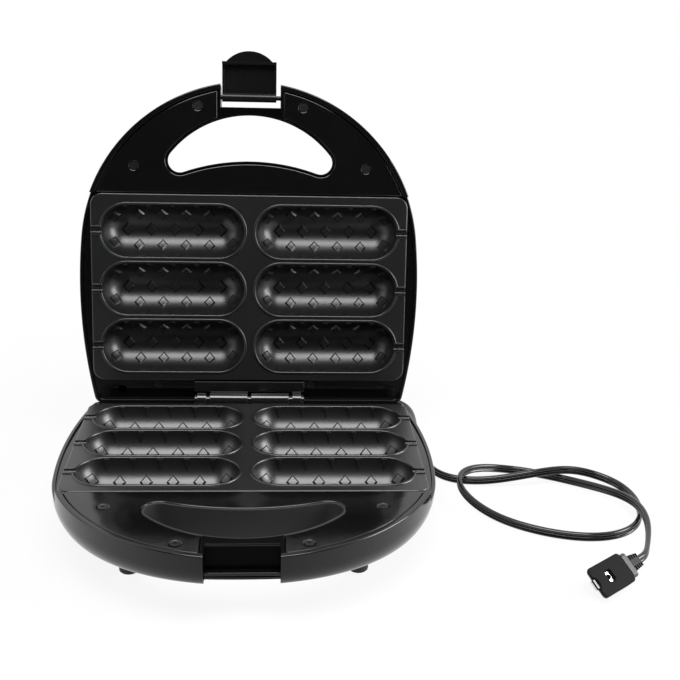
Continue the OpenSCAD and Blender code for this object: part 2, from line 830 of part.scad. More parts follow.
module plate_screws() {
    four_corners(plate_screw_place)
        translate([0, 0, deck_z - deck_t]) mirror([0, 0, 1]) screw(skirt_h - plate_t + deck_t - 0.4);
}

module lower_plate_screws() {
    color(bright_steel) in_base() plate_screws();
}

module upper_plate_screws() {
    color(bright_steel) in_lid() plate_screws();
}

module upper_rear_screws() {
    color(bright_steel) in_lid()
        for (place = rear_screw_places)
            translate([place[0], place[1], deck_z]) screw(deck_t);
}

function foot_places() = [
    for (x = [-1, 1]) each [[x * foot_x, -foot_front_y], [x * foot_x, foot_rear_y]]
];

module rubber_feet() {
    color(rubber_black) on_table()
        for (place = foot_places())
            translate([place[0], place[1], 0])
                rotate_extrude()
                    polygon([[0, 0], [foot_r - 1.4, 0], [foot_r - 0.6, 0.8], [foot_r, foot_h - 1.2],
                        [foot_r, foot_h], [0, foot_h]]);
}

// Controls inside the base
module thermostat() {
    color(bright_steel) in_base()
        translate([20, -18, reflector_z - reflector_t - seat_gap]) {
            translate([0, 0, -1]) cylinder(r = 9, h = 1);
            translate([0, 0, -6]) cylinder(r = 7.5, h = 6);
            for (x = [-1, 1])
                translate([x * 4, 0, -8]) cube([0.8, 4, 5], center = true);
        }
}

module thermal_fuse() {
    color(ceramic_white) in_base()
        translate([-25, 10, reflector_z - reflector_t - seat_gap - 2.4]) rotate([0, 90, 0]) {
            cylinder(r = 2.4, h = 14, center = true);
            cylinder(r = 0.6, h = 30, center = true);
        }
}

module terminal_block() {
    color(ceramic_white) in_base()
        translate([cord_exit_x - 22, rear_y - 30, wall_t - housing_depth + seat_gap + 1])
            difference() {
                translate([-13, -7, -1]) cube([26, 14, 11]);
                for (x = [-8, 0, 8]) {
                    translate([x, 0, 4]) rotate([90, 0, 0]) cylinder(r = 1.8, h = 20, center = true);
                    translate([x, -3.5, 6]) cylinder(r = 1.6, h = 10);
                }
            }
}

// Hinge: each leaf carries one long and one short knuckle, the other's pair turned end for end
module knuckle(from, to) {
    translate([from, 0, 0]) rotate([0, 90, 0]) cylinder(r = knuckle_r, h = to - from);
}

// A leaf that lies at the given height, its knuckles standing on its rear edge
module hinge_leaf(leaf_z) {
    long_end = hinge_half_w - knuckle_short - knuckle_gap;
    spans = [[-hinge_half_w, -hinge_half_w + knuckle_short], [knuckle_gap / 2, long_end]];
    front = plate_d / 2 + leaf_gap;
    difference() {
        union() {
            for (span = spans) {
                translate([0, hinge_y, leaf_z + knuckle_r]) knuckle(span[0], span[1]);
                translate([span[0], front, leaf_z]) cube([span[1] - span[0], hinge_y - front, leaf_t]);
            }
            translate([-hinge_half_w, front, leaf_z])
                cube([2 * hinge_half_w, hinge_y - front - knuckle_r - leaf_clearance, leaf_t]);
        }
        translate([-hinge_half_w - 1, hinge_y, leaf_z + knuckle_r]) rotate([0, 90, 0])
            cylinder(r = hinge_pin_r + pin_clearance, h = 2 * hinge_half_w + 2);
        both_sides()
            translate([hinge_screw_x, hinge_screw_y, leaf_z - 1])
                cylinder(r = screw_r + screw_clearance, h = leaf_t + 2);
    }
}

module hinge_base_leaf() {
    color(black_gloss) in_base() hinge_leaf(base_leaf_z);
}

module hinge_lid_leaf() {
    color(black_gloss) in_lid() mirror([1, 0, 0]) hinge_leaf(lid_leaf_z);
}

module hinge_base_screws() {
    color(bright_steel) in_base() both_sides()
        translate([hinge_screw_x, hinge_screw_y, base_leaf_z + leaf_t]) screw(screw_len - 4);
}

// The lid's leaf is held from inside the housing
module hinge_lid_screws() {
    color(bright_steel) in_lid() both_sides()
        translate([hinge_screw_x, hinge_screw_y, deck_z - deck_t])
            mirror([0, 0, 1]) screw(lid_leaf_z + leaf_t - deck_z + deck_t);
}

module hinge_pin() {
    color(bright_steel) in_base()
        translate([0, hinge_y, -hinge_drop]) rotate([0, 90, 0]) {
            cylinder(r = hinge_pin_r, h = 2 * hinge_half_w + 1.6, center = true);
            for (end = [-1, 1])
                translate([0, 0, end * (hinge_half_w + 1.1)])
                    cylinder(r = hinge_pin_r + 0.8, h = 1, center = true);
        }
}

// Indicator lamps in the lid's top
module lens() {
    translate([0, 0, -housing_depth - 0.6]) linear_extrude(wall_t + 0.6 + 1)
        stadium(lamp_half[0] - lamp_half[1], lamp_half[1]);
    translate([0, 0, -housing_depth + wall_t + seat_gap]) linear_extrude(1)
        stadium(lamp_half[0] - lamp_half[1] + 1, lamp_half[1] + 1);
}

module power_lens() {
    color(red_lens) in_lid()
        translate([-lamp_place[0], lamp_place[1], 0]) lens();
}

module ready_lens() {
    color(green_lens) in_lid()
        translate([lamp_place[0], lamp_place[1], 0]) lens();
}

module lamp_holder() {
    color(ceramic_white) in_lid()
        translate([0, lamp_place[1], -housing_depth + wall_t + 1 + 2 * seat_gap])
            difference() {
                translate([-lamp_place[0] - 9, -6, 0]) cube([2 * lamp_place[0] + 18, 12, 8]);
                for (x = [-1, 1])
                    translate([x * lamp_place[0], 0, -1]) cylinder(r = 2.5, h = 7);
            }
}

// Latch, drawn in the closed lid's sense: it points forward from its pivot, hook on the plate's side
module latch_pin() {
    color(bright_steel) in_lid()
        translate([0, -latch_pivot_y, latch_z]) rotate([0, 90, 0])
            cylinder(r = latch_pin_r, h = 2 * (notch_half_w + notch_wall - 0.4), center = true);
}

module latch_clip() {
    tab_r = (pow(tab_half_w, 2) + pow(tab_len, 2)) / (2 * tab_len);
    arm = hook_arm + hook_t;
    color(black_satin) in_lid()
        translate([latch_slide, -latch_pivot_y, latch_z])
            difference() {
                union() {
                    rotate([0, 90, 0]) cylinder(r = latch_barrel_r, h = latch_w, center = true);
                    translate([-latch_w / 2, -arm, -latch_barrel_r]) cube([latch_w, arm, latch_t]);
                    translate([-latch_w / 2, -arm, -latch_barrel_r])
                        cube([latch_w, hook_t, latch_barrel_r + hook_lift()]);
                    both_sides()
                        translate([latch_w / 2 - latch_rail_w, -arm, -latch_barrel_r])
                            cube([latch_rail_w, arm, latch_t + latch_rail_h]);
                    translate([0, 0, -latch_barrel_r]) linear_extrude(latch_t)
                        intersection() {
                            translate([0, -arm + tab_r - tab_len]) circle(tab_r, $fn = 128);
                            translate([-tab_half_w, -arm - tab_len]) square([2 * tab_half_w, tab_len + 1]);
                        }
                }
                rotate([0, 90, 0])
                    cylinder(r = latch_pin_r + pin_clearance, h = latch_w + 2, center = true);
            }
}
// How far the hook stands past the pivot's level, so that it reaches back under the catch bar
function hook_lift() = base_notch_y + catch_bar_d < latch_pivot_y
    ? latch_pivot_y - base_notch_y - catch_bar_d + hook_reach
    : hook_reach;

// Cord bush, cord and plug
module cord_bush() {
    color(rubber_black) on_table()
        translate([cord_exit_x, rear_y, cord_exit_h]) rotate([-90, 0, 0])
            rotate_extrude()
                polygon(concat(
                    [
                        [0, -wall_t - 3], [bush_neck_r, -wall_t - 3], [bush_neck_r, seat_gap],
                        [bush_flange_r, seat_gap], [bush_flange_r, bush_flange_t]
                    ],
                    [for (i = [0:5]) each
                        let (
                            y = mix(bush_flange_t, bush_flange_t + bush_tail - 4, i / 5),
                            r = mix(5.6, 4.4, i / 5)
                        )
                        [[r, y], [r, y + 2.2], [r - 0.8, y + 2.6], [r - 0.8, y + 4]]],
                    [[0, bush_flange_t + bush_tail]]
                ));
}

// The cord's centre line: a cubic spline led by the route's points, from the first to the last
function unit(v) = v / norm(v);
function route_point(i) =
    i < 0 ? 2 * cord_route[0] - cord_route[1]
    : i >= len(cord_route) ? 2 * cord_route[i - 1] - cord_route[i - 2]
    : cord_route[i];
function spline(i, t) =
    (pow(1 - t, 3) * route_point(i - 1) + (3 * pow(t, 3) - 6 * t * t + 4) * route_point(i)
    + (-3 * pow(t, 3) + 3 * t * t + 3 * t + 1) * route_point(i + 1) + pow(t, 3) * route_point(i + 2)) / 6;
cord_line = [
    for (i = [0:len(cord_route) - 2], k = [0:cord_steps - 1]) spline(i, k / cord_steps),
    cord_route[len(cord_route) - 1]
];
function cord_heading(i) =
    i == 0 ? unit(cord_route[1] - cord_route[0])
    : i == len(cord_line) - 1 ? plug_heading
    : unit(cord_line[i + 1] - cord_line[i - 1]);
function cord_ring(i) =
    let (
        along = cord_heading(i),
        across = unit(cross(along, [0, 0, 1])),
        over = cross(across, along)
    )
    [for (k = [0:cord_sides - 1])
        let (a = 360 * k / cord_sides)
        cord_line[i] + across * cord_t / 2 * cos(a) + over * cord_w / 2 * sin(a)];

module power_cord() {
    color(rubber_black) on_table() loft([for (i = [len(cord_line) - 1:-1:0]) cord_ring(i)]);
}

module at_plug() {
    on_table() translate(plug_place) rotate([0, 0, plug_turn]) rotate([plug_roll, 0, 0]) children();
}

module plug_strain_relief() {
    start = -sleeve_len / 2 - plug_body_len - seat_gap;
    finish = -sleeve_len / 2 - plug_body_len - relief_len;
    pitch = relief_len / (relief_slots + 0.6);
    color(rubber_black) at_plug()
        difference() {
            translate([0, 0, -relief_t / 2]) linear_extrude(relief_t)
                polygon([
                    [start, -relief_w[0] / 2], [start, relief_w[0] / 2],
                    [finish, relief_w[1] / 2], [finish, -relief_w[1] / 2]
                ]);
            for (i = [1:relief_slots], side = [-1, 1])
                translate([start - i * pitch, side * relief_w[0] / 2, 0])
                    cube([pitch / 2, relief_w[0] * 0.6, 2 * relief_t], center = true);
        }
}

module plug_body() {
    color(rubber_black) at_plug()
        translate([-sleeve_len / 2 - plug_body_len, 0, 0]) rotate([0, 90, 0])
            linear_extrude(plug_body_len - seat_gap) rounded_rect(sleeve_t, plug_body_w, 2);
}

// Two flat blades side by side in the sleeve, each with a hole that the sleeve's window shows
module plug_blades() {
    start = -sleeve_len / 2;
    length = sleeve_len - sleeve_wall - 1;
    color(bright_steel) at_plug()
        difference() {
            for (z = [-blade_z - blade_t, blade_z])
                translate([start, -blade_w / 2, z]) cube([length, blade_w, blade_t]);
            translate([window_x, 0, -sleeve_t]) cylinder(r = blade_t, h = 2 * sleeve_t);
        }
}

module plug_cover() {
    start = -sleeve_len / 2;
    color(black_satin) at_plug()
        difference() {
            translate([0, 0, -sleeve_t / 2]) linear_extrude(sleeve_t) rounded_rect(sleeve_len, sleeve_w, 2.5);
            translate([start - 1, -sleeve_w / 2 + sleeve_wall, -sleeve_t / 2 + sleeve_wall])
                cube([sleeve_len - sleeve_wall + 1, sleeve_w - 2 * sleeve_wall, sleeve_t - 2 * sleeve_wall]);
            translate([window_x, 0, 0]) linear_extrude(sleeve_t)
                rounded_rect(window_size[0], window_size[1], sleeve_wall);
            translate([scallop_x, 0, sleeve_wall - sleeve_t / 2]) cylinder(r = scallop_r, h = sleeve_t);
        }
}

lower_housing();
lower_handle_panel();
lower_plate();
lower_heating_rods();
lower_reflector();
lower_panel_screws();
lower_plate_screws();
rubber_feet();
thermostat();
thermal_fuse();
terminal_block();
hinge_base_leaf();
hinge_base_screws();
hinge_pin();
cord_bush();
power_cord();
plug_strain_relief();
plug_body();
plug_blades();
plug_cover();
upper_housing();
upper_handle_panel();
upper_plate();
upper_heating_rods();
upper_reflector();
upper_panel_screws();
upper_plate_screws();
upper_rear_screws();
hinge_lid_leaf();
hinge_lid_screws();
power_lens();
ready_lens();
lamp_holder();
latch_pin();
latch_clip();
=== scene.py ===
"""Looks of a corn dog maker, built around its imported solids.

Sizes are in millimetres and become metres where a mesh is made. X to the right, Y to the hinge, Z up.
Shells and griddles are drawn around the middle of the lower plate's cooking face, then moved to their place.
"""
import math
from collections import namedtuple

import bmesh
import bpy
import numpy as np
from mathutils import Matrix, Vector
from mathutils.geometry import delaunay_2d_cdt


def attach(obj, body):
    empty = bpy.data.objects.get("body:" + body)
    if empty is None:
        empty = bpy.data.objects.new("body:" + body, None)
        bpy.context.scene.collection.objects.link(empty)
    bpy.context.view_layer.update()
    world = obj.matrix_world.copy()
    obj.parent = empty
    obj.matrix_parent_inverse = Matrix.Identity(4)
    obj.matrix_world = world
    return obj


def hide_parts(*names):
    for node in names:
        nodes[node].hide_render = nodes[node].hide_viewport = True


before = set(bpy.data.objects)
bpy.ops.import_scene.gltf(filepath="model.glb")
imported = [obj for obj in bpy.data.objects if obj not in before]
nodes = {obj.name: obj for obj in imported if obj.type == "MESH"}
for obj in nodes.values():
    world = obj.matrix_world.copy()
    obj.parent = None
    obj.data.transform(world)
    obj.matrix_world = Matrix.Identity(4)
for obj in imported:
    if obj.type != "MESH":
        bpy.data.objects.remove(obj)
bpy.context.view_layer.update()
MM = 0.001

# Meshes: gaps that are joined, lengths taken as none, steps of round edges, and turns in degrees that stay sharp
JOIN_GAP = 0.004
SHORT_EDGE = 0.002
NODE_WELD_GAP = 0.002
FILL_GAP = 1e-6
NO_LENGTH = 1e-9
NO_RISE = 1e-12
MITRE_MIN = 0.3
BLOCK_EDGE = 0.3
ROUND_STEPS = 4
SMALL_ROUND_STEPS = 3
CIRCLE_STEPS = 48
HOLE_STEPS = 30
SHARP_TURN = 38
GRIDDLE_SHARP_TURN = 48
CORD_SHARP_TURN = 60
NODE_SHARP_TURN = 35

# Camera of the photograph
CAMERA_PLACE = (13.0, -650.3, 348.2)
CAMERA_YAW = 3.96
CAMERA_PITCH = 19.75
CAMERA_ROLL = 1.73
CAMERA_LENS = 58.4
CAMERA_SENSOR = 36

# Places: the lower plate's middle from the origin, the hinge behind and below it, and the gap between shut plates
PLATE_MIDDLE = np.array([0, -2.7, 44.0])
HINGE_Y = 78.6
HINGE_DROP = 2.6
PLATE_GAP = 1.8
OPEN_ANGLE = math.radians(100)

# Cooking plates: their moulds, the beads round the mouths and beside the stick grooves
PLATE_SIZE = (220, 131)
PLATE_CORNER = 8
PLATE_T = 3
SKIRT_H = 8
SKIRT_T = 2.4
SKIRT_EDGE = 0.3
PLATE_EDGE = 0.9
MID_Z = PLATE_GAP / 2
MOULD_R = 17.9
MOULD_HALF = 31.5
MOULD_WALL_TURN = math.radians(86.5)
MOULD_STEPS = 26
BOWL_R = 20.0
BOWL_STEPS = 14
MOULD_PITCH = (107, 40.5)
MOULD_SHIFT = 0.7
BEAD_PROFILE = [(19.85, 0), (19.79, 0.15), (19.67, 0.38), (19.47, 0.58), (19.2, 0.7), (18.6, 0.7), (18.33, 0.6),
                (18.11, 0.38), (17.97, 0.1)]
GROOVE_R = 2.2
GROOVE_END = 60
STICK_BEAD_HALF = 3.4
STICK_BEAD_Z = (-1.5, 0.7)
STICK_BEAD_BACK = 0.2
STICK_BEAD_EDGE = 0.35

# Pads on the moulds' walls: (share of the outline, distance past the wall) of each level, and the rows' turns
DIAMOND_HALF = (4.3, 5.0)
TOOTH_SIZE = (2.1, 8.2)
PAD_LEVELS = [(0.66, -1.15), (0.70, -1.12), (1.0, 0.05), (1.0, 0.8)]
PAD_STEPS = 7
PAD_TOP_Z = -0.1
DIAMOND_PITCH = 16.4
DIAMOND_ROW = math.radians(38)
TOOTH_ROW = math.radians(87)

# Shells: plan of the wall, its levels, and the insets of the belly at the sides, the front and the rear
FRONT_R = 118
FRONT_CENTRE = 24.4
SIDE_R = 361
SIDE_CENTRE = math.sqrt((SIDE_R - FRONT_R) ** 2 - FRONT_CENTRE ** 2)
SIDE_START = -math.atan2(FRONT_CENTRE, SIDE_CENTRE)
REAR_Y = 84
REAR_CORNER_R = 6
CORNER_MIN_R = 5
WALL_T = 2.6
RIM_W = 3.6
DEPTH = 36
STRAIGHT = 9
HANDLE_DEPTH = 20
HANDLE_FILLET = 10
BELLY_INSET = (34, 62, 9)
BELLY_REAR_END = 2
BELLY_SHARES = (1, 0.66, 0.33)
SWEEP_SHARE = 0.8
FRONT_EASE = 1.5
REAR_EASE = 3
RIM_Z = 0.7
RIM_FOOT_Z = -7
PANEL_Z = 0.1
DECK_Z = -8.1
REAR_RIM_Z = -6.6
REAR_RIM_TAPER = 0.4
DECK_T = 2.5
DECK_INNER = (105.6, 61.1)
HANDLE_Y = -65.9
EDGE_R = 0.8
TOOL_DEPTH = 60

# Latch notch, the base's trim along it (width, height) and catch bar in it, and the post behind it
NOTCH_HALF = 20.5
NOTCH_FRONT = -160
NOTCH_TOP = 20
NOTCH_TRIM = (1.5, 1.3)
NOTCH_TRIM_LAP = 0.05
NOTCH_TRIM_EDGE = 0.5
CATCH_BAR_D = 4
CATCH_BAR_Z = (-17, -15)
CATCH_BAR_LAP = 1
POST_HALF = 22.4
POST_FRONT = -150
POST_EDGE = 0.4
POST_LAP = 0.1

# Collar round the finger opening
COLLAR_T = 1.4
COLLAR_EDGE = 0.45
COLLAR_INSET = 0.15
COLLAR_DROP = 0.15

# Hinge seats, the slot for the leaf in the lid's, the bosses over the front feet, and the hole in the lid's deck
SEAT_HALF = 38.8
SEAT_Y = (66.3, 73.3)
SEAT_SINK = 1
LEAF_SLOT_HALF = 36.9
LEAF_SLOT_Y = (0.7, 5)
LEAF_SLOT_Z = (-0.45, 1.25)
FOOT_PLACE = (67, -80)
FOOT_BOSS_R = 5.7
FOOT_BOSS_TOP = -27
DECK_HOLE_PLACE = (-91, 74)
DECK_HOLE_R = 3
DECK_HOLE_DEPTH = 20
DECK_HOLE_STEPS = 36

# Handle panels in the rim of each shell, with a skirt (half width, thickness, depth) at their back
PANEL_T = 2.4
PANEL_R = 113.8
PANEL_BACK = -66.1
PANEL_CUT = 22.7
PANEL_EDGE = 0.9
PANEL_LEDGE = 1.8
PANEL_STEPS = 60
PANEL_SKIRT = (104, 2, 7.6)
PANEL_SKIRT_GAP = 0.1
PANEL_SKIRT_DROP = 0.8
PANEL_SCREWS = [(80, -84.5), (36, -125.5)]
SCREW_HOLE_R = 2.95

# Finger opening: the middle of its right end, and the radii of its ends and long sides
GRIP_END = (48.5, -88.3)
GRIP_END_R = 8
GRIP_FRONT_R = 70.3
GRIP_REAR_R = 139.5
GRIP_FRONT_STEPS = 59
GRIP_END_STEPS = 18
GRIP_REAR_STEPS = 48

# Cord: its section, then its route from the bush in the rear wall to the plug's strain relief, with X and Y from
# the plate's middle and Z from the floor
CORD_WIDTH = 5.8
CORD_LOBE_R = 1.85
CORD_LIFT = 0.1
CORD_RING_POINTS = 72
CORD_GROOVE_TURN = 0.50
CORD_GROOVE = (1.15, 0.24)
CORD_STEPS = 9
PLUG_TURN = math.radians(218.5)
PLUG_HEADING = np.array([math.cos(PLUG_TURN), math.sin(PLUG_TURN), 0])
BUSH_END = np.array([76.0, 114.0, 22.0])
BUSH_STRAIGHT = 13
PLUG_PLACE = np.array([209.7, -105.8, 8.8])
PLUG_ROLL = math.radians(-37)
RELIEF_REACH = 28.25
RELIEF_STRAIGHT = 10
RELIEF_END = PLUG_PLACE - RELIEF_REACH * PLUG_HEADING
CORD_ROUTE = [
    BUSH_END, BUSH_END + [0, BUSH_STRAIGHT, 0], [76, 142, 15.6], [79.5, 159, 8.4], [95, 171.5, 3.6],
    [116, 168, 2.9], [128, 148, 2.9], [123.5, 100, 2.9], [124, 54, 2.9], [132.5, 34.5, 2.9],
    [148, 27, 2.9], [168, 24.5, 4.6], [191, 24.5, 9], [213, 29, 10.8], [230, 33.5, 7.8],
    [246, 30.5, 4], [256.5, 19, 2.9], [260.5, -2, 2.9], [256.5, -24.5, 2.9], [244.5, -42, 2.9],
    [226, -50.5, 2.9], [204, -49.5, 2.9], [181, -40.5, 2.9], [161, -25.5, 2.9], [146, -8, 6],
    [140, 9, 10], [145, 25, 11], [159, 36.5, 8.6], [176, 43.5, 4.4], [195.5, 41.5, 2.9],
    [215.5, 31.5, 2.9], [234.5, 17, 4.2], [248, -0.5, 7.4], [254.5, -19.5, 10], [255, -37.5, 9],
    [250.5, -54.5, 7.8], [244.5, -70, 7.8], RELIEF_END - RELIEF_STRAIGHT * PLUG_HEADING, RELIEF_END,
]

# Sleeve over the plug's blades: length, width and thickness, and the places its blades show
SLEEVE_SIZE = (30.5, 18.8, 7.5)
SLEEVE_CORNER = 2.5
SLEEVE_EDGE = 0.8
SLEEVE_UNDERCUT = 0.9
WINDOW_X = 1.5
WINDOW_SIZE = (5.5, 7.5)
WINDOW_CORNER = 1.4
SCALLOP_X = 17.05
SCALLOP_R = 5
POCKET_Z = 0.2

# Stage, in metres and watts: name, place, target, size and power of each lamp, and (value, result) pairs of fades
LAMPS = [
    ("top_softbox", (0, -0.4, 1.15), (0, 0.0, 0.08), (1.0, 0.6), 17),
    ("left_softbox", (-1.2, -0.3, 0.6), (0, 0, 0.1), (0.9, 0.5), 1.5),
    ("right_softbox", (0.95, -0.12, 0.42), (0, 0, 0.12), (0.5, 0.6), 10),
]
AMBIENT = 0.15
WORLD_FRONT = ((-0.3, 0.03), (0.5, 1.0))
WORLD_ASIDE = 0.6
FLOOR_HALF = 6.0
FLOOR_GREY = 0.8
FLOOR_ROUGHNESS = 0.8
FLOOR_SPECULAR = 0.1
FLOOR_WHITE = ((0.15, 0.90), (0.5, 1.0))
FLOOR_FRONT = ((-0.4, 0.15), (0.1, 1.0))
FLOOR_ASIDE = 0.7


def make_camera():
    """The photograph's view, from its place and its three turns in degrees."""
    yaw, pitch, roll = (math.radians(a) for a in (CAMERA_YAW, CAMERA_PITCH, CAMERA_ROLL))
    forward = Vector((math.sin(yaw) * math.cos(pitch), math.cos(yaw) * math.cos(pitch), -math.sin(pitch)))
    right = Vector((math.cos(yaw), -math.sin(yaw), 0))
    up = right.cross(forward)
    across = right * math.cos(roll) + up * math.sin(roll)
    upward = up * math.cos(roll) - right * math.sin(roll)
    camera = bpy.data.objects.new("camera", bpy.data.cameras.new("camera"))
    camera.matrix_world = Matrix.Translation(Vector(CAMERA_PLACE) * MM) @ Matrix(
        (across, upward, -forward)).transposed().to_4x4()
    camera.data.lens = CAMERA_LENS
    camera.data.sensor_width = CAMERA_SENSOR
    bpy.context.scene.collection.objects.link(camera)
    bpy.context.scene.camera = camera


# Shapes: pairs of points and faces


def in_base(points):
    """The place of the base's shapes."""
    return np.asarray(points, float) + PLATE_MIDDLE


def in_lid(points):
    """The base's place mirrored on the meeting plane and turned back about the hinge."""
    x, y, z = np.asarray(points, float).T
    y, z = y - HINGE_Y, PLATE_GAP + HINGE_DROP - z
    turned = (x, y * math.cos(OPEN_ANGLE) + z * math.sin(OPEN_ANGLE) + HINGE_Y,
              -y * math.sin(OPEN_ANGLE) + z * math.cos(OPEN_ANGLE) - HINGE_DROP)
    return np.stack(turned, axis=1) + PLATE_MIDDLE


def joined(*shapes):
    """Several shapes as one."""
    points, faces, start = [], [], 0
    for some_points, some_faces in shapes:
        points.append(some_points)
        faces += [tuple(start + i for i in face) for face in some_faces]
        start += len(some_points)
    return np.concatenate(points), faces


def strip(rings):
    """Quads between neighbouring closed rings."""
    rings = np.asarray(rings, float)
    m, n = rings.shape[:2]
    faces = [(j * n + i, j * n + (i + 1) % n, (j + 1) * n + (i + 1) % n, (j + 1) * n + i)
             for j in range(m - 1) for i in range(n)]
    return rings.reshape(-1, 3), faces


def at_height(loop, z):
    """A flat outline lifted to a height."""
    return np.column_stack([loop, np.full(len(loop), float(z))])


def arc(centre, r, start, end, count):
    """Points of an arc between two turns in degrees, both ends included."""
    a = np.radians(np.linspace(start, end, count))
    return np.column_stack([centre[0] + r * np.cos(a), centre[1] + r * np.sin(a)])


def circle(centre, r, count, clockwise=False):
    """A closed outline: clockwise for a hole in a slab."""
    step = 360 / count
    return arc(centre, r, 360, step, count) if clockwise else arc(centre, r, 0, 360 - step, count)


def rectangle(x0, y0, x1, y1):
    """An outline between two corners."""
    return np.array([(x0, y0), (x1, y0), (x1, y1), (x0, y1)], float)


def rounded_rect(width, depth, r, count=10):
    """An outline round the origin, with round corners of count points each."""
    x, y = width / 2 - r, depth / 2 - r
    return np.concatenate([arc((x, y), r, 0, 90, count), arc((-x, y), r, 90, 180, count),
                           arc((-x, -y), r, 180, 270, count), arc((x, -y), r, 270, 360, count)])


def offset(loop, distance):
    """The outline set in to its left by a distance, with mitred corners."""
    before = loop - np.roll(loop, 1, axis=0)
    after = np.roll(loop, -1, axis=0) - loop
    sides = [np.column_stack([-e[:, 1], e[:, 0]]) / np.maximum(np.linalg.norm(e, axis=1), NO_LENGTH)[:, None]
             for e in (before, after)]
    mitre = sides[0] + sides[1]
    mitre /= np.maximum((mitre * sides[0]).sum(axis=1), MITRE_MIN)[:, None]
    return loop + distance * mitre


def fill(loops, z):
    """A flat face between a closed outline and the holes in it, in triangles."""
    flat = np.concatenate(loops)
    following = np.concatenate([np.roll(loop, -1, axis=0) for loop in loops])
    starts = np.cumsum([0] + [len(loop) for loop in loops])
    edges = [(s + i, s + (i + 1) % len(loop)) for s, loop in zip(starts, loops) for i in range(len(loop))]
    found = delaunay_2d_cdt([Vector(p) for p in flat], edges, [], 0, FILL_GAP)
    origin = [o[0] for o in found[3]]
    triangles = np.array([[origin[i] for i in t] for t in found[2]])
    middle = flat[triangles].mean(axis=1)
    (x0, y0), (x1, y1) = flat.T, following.T
    across = (y0 > middle[:, 1:]) != (y1 > middle[:, 1:])
    rise = np.where(np.abs(y1 - y0) < NO_RISE, NO_RISE, y1 - y0)
    left = middle[:, :1] < x0 + (middle[:, 1:] - y0) * (x1 - x0) / rise
    inside = (across & left).sum(axis=1) % 2 == 1
    return at_height(flat, z), [tuple(t) for t in triangles[inside]]


def round_over(r, top, steps):
    """(inset, height) down a rounded edge, from its top to the side below."""
    turns = np.linspace(0, math.pi / 2, steps + 1)
    return [(r * (1 - math.sin(a)), top - r * (1 - math.cos(a))) for a in turns]


def slab(loops, top, bottom, edge, steps=SMALL_ROUND_STEPS):
    """A plate with rounded edges; its outline runs anticlockwise and its holes clockwise."""
    turns = np.linspace(0, math.pi / 2, steps + 1)
    profile = round_over(edge, top, steps)
    profile += [(edge * (1 - math.cos(a)), bottom + edge * (1 - math.sin(a))) for a in turns]
    sides = [strip([at_height(offset(loop, inset), z) for inset, z in profile]) for loop in loops]
    rims = [offset(loop, edge) for loop in loops]
    return joined(*sides, fill(rims, top), fill(rims, bottom))


def block(low, high, edge=BLOCK_EDGE):
    """A box between two corners, with rounded edges."""
    (x0, y0, z0), (x1, y1, z1) = low, high
    return slab([rectangle(x0, y0, x1, y1)], z1, z0, edge)


def prism(loop, top, bottom):
    """An outline drawn out between two heights, with plain edges."""
    return slab([loop], top, bottom, 0, 1)


def rod(start, end, r, sides=CIRCLE_STEPS):
    """A round rod along X, from a start point to the X of its end."""
    a = np.linspace(0, 2 * math.pi, sides, endpoint=False)
    rings = [np.column_stack([np.full(sides, x), start[1] + r * np.cos(a), start[2] + r * np.sin(a)])
             for x in (start[0], end)]
    points, faces = strip(rings)
    return points, faces + [tuple(range(sides)), tuple(range(2 * sides - 1, sides - 1, -1))]


def to_mesh(name, shape):
    """A closed mesh with its doubled points joined and its faces turned outwards."""
    mesh = bpy.data.meshes.new(name)
    mesh.from_pydata(np.asarray(shape[0], float).tolist(), [], [list(f) for f in shape[1]])
    work = bmesh.new()
    work.from_mesh(mesh)
    bmesh.ops.remove_doubles(work, verts=work.verts, dist=JOIN_GAP)
    bmesh.ops.dissolve_degenerate(work, edges=work.edges, dist=SHORT_EDGE)
    bmesh.ops.recalc_face_normals(work, faces=work.faces)
    work.to_mesh(mesh)
    work.free()
    return mesh


def carve(shape, tool, operation="DIFFERENCE"):
    """A shape cut by another, or what of it is inside the other."""
    things = [bpy.data.objects.new("carving", to_mesh("carving", s)) for s in (shape, tool)]
    for thing in things:
        bpy.context.scene.collection.objects.link(thing)
    step = things[0].modifiers.new("carve", "BOOLEAN")
    step.operation, step.solver, step.object = operation, "EXACT", things[1]
    done = things[0].evaluated_get(bpy.context.evaluated_depsgraph_get()).to_mesh()
    result = np.array([v.co for v in done.vertices]), [tuple(p.vertices) for p in done.polygons]
    for thing in things:
        mesh = thing.data
        bpy.data.objects.remove(thing)
        bpy.data.meshes.remove(mesh)
    return result


def add_piece(name, shape, place, material, body, replaced=(), angle=SHARP_TURN):
    """A new piece of the object from a shape, riding on a body."""
    mesh = to_mesh(name, (place(shape[0]), shape[1]))
    mesh.transform(Matrix.Scale(MM, 4))
    mesh.materials.append(material)
    piece = bpy.data.objects.new(name, mesh)
    bpy.context.scene.collection.objects.link(piece)
    even_shading(piece, angle)
    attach(piece, body)
    if replaced:
        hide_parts(*replaced)
    return piece


def even_shading(piece, angle):
    """Smooth shading, with edges that turn more than an angle in degrees left sharp."""
    piece.data.shade_smooth()
    piece.data.set_sharp_from_angle(angle=math.radians(angle))
    piece.modifiers.new("even_normals", "WEIGHTED_NORMAL").keep_sharp = True


# Materials


GRAIN_DETAIL = 2.0
GRAIN_HEIGHT = 0.1
SMUDGE_SCALE = 18.0
SMUDGE_DETAIL = 4.0
SMUDGE_ROUGHNESS = 0.62
SMUDGE_MIDDLE = 0.5
SMUDGE_GAIN = 2.0

# Where a mix node keeps its colour sockets, after those for numbers and vectors
MIX_A, MIX_B, MIX_RESULT = 6, 7, 2


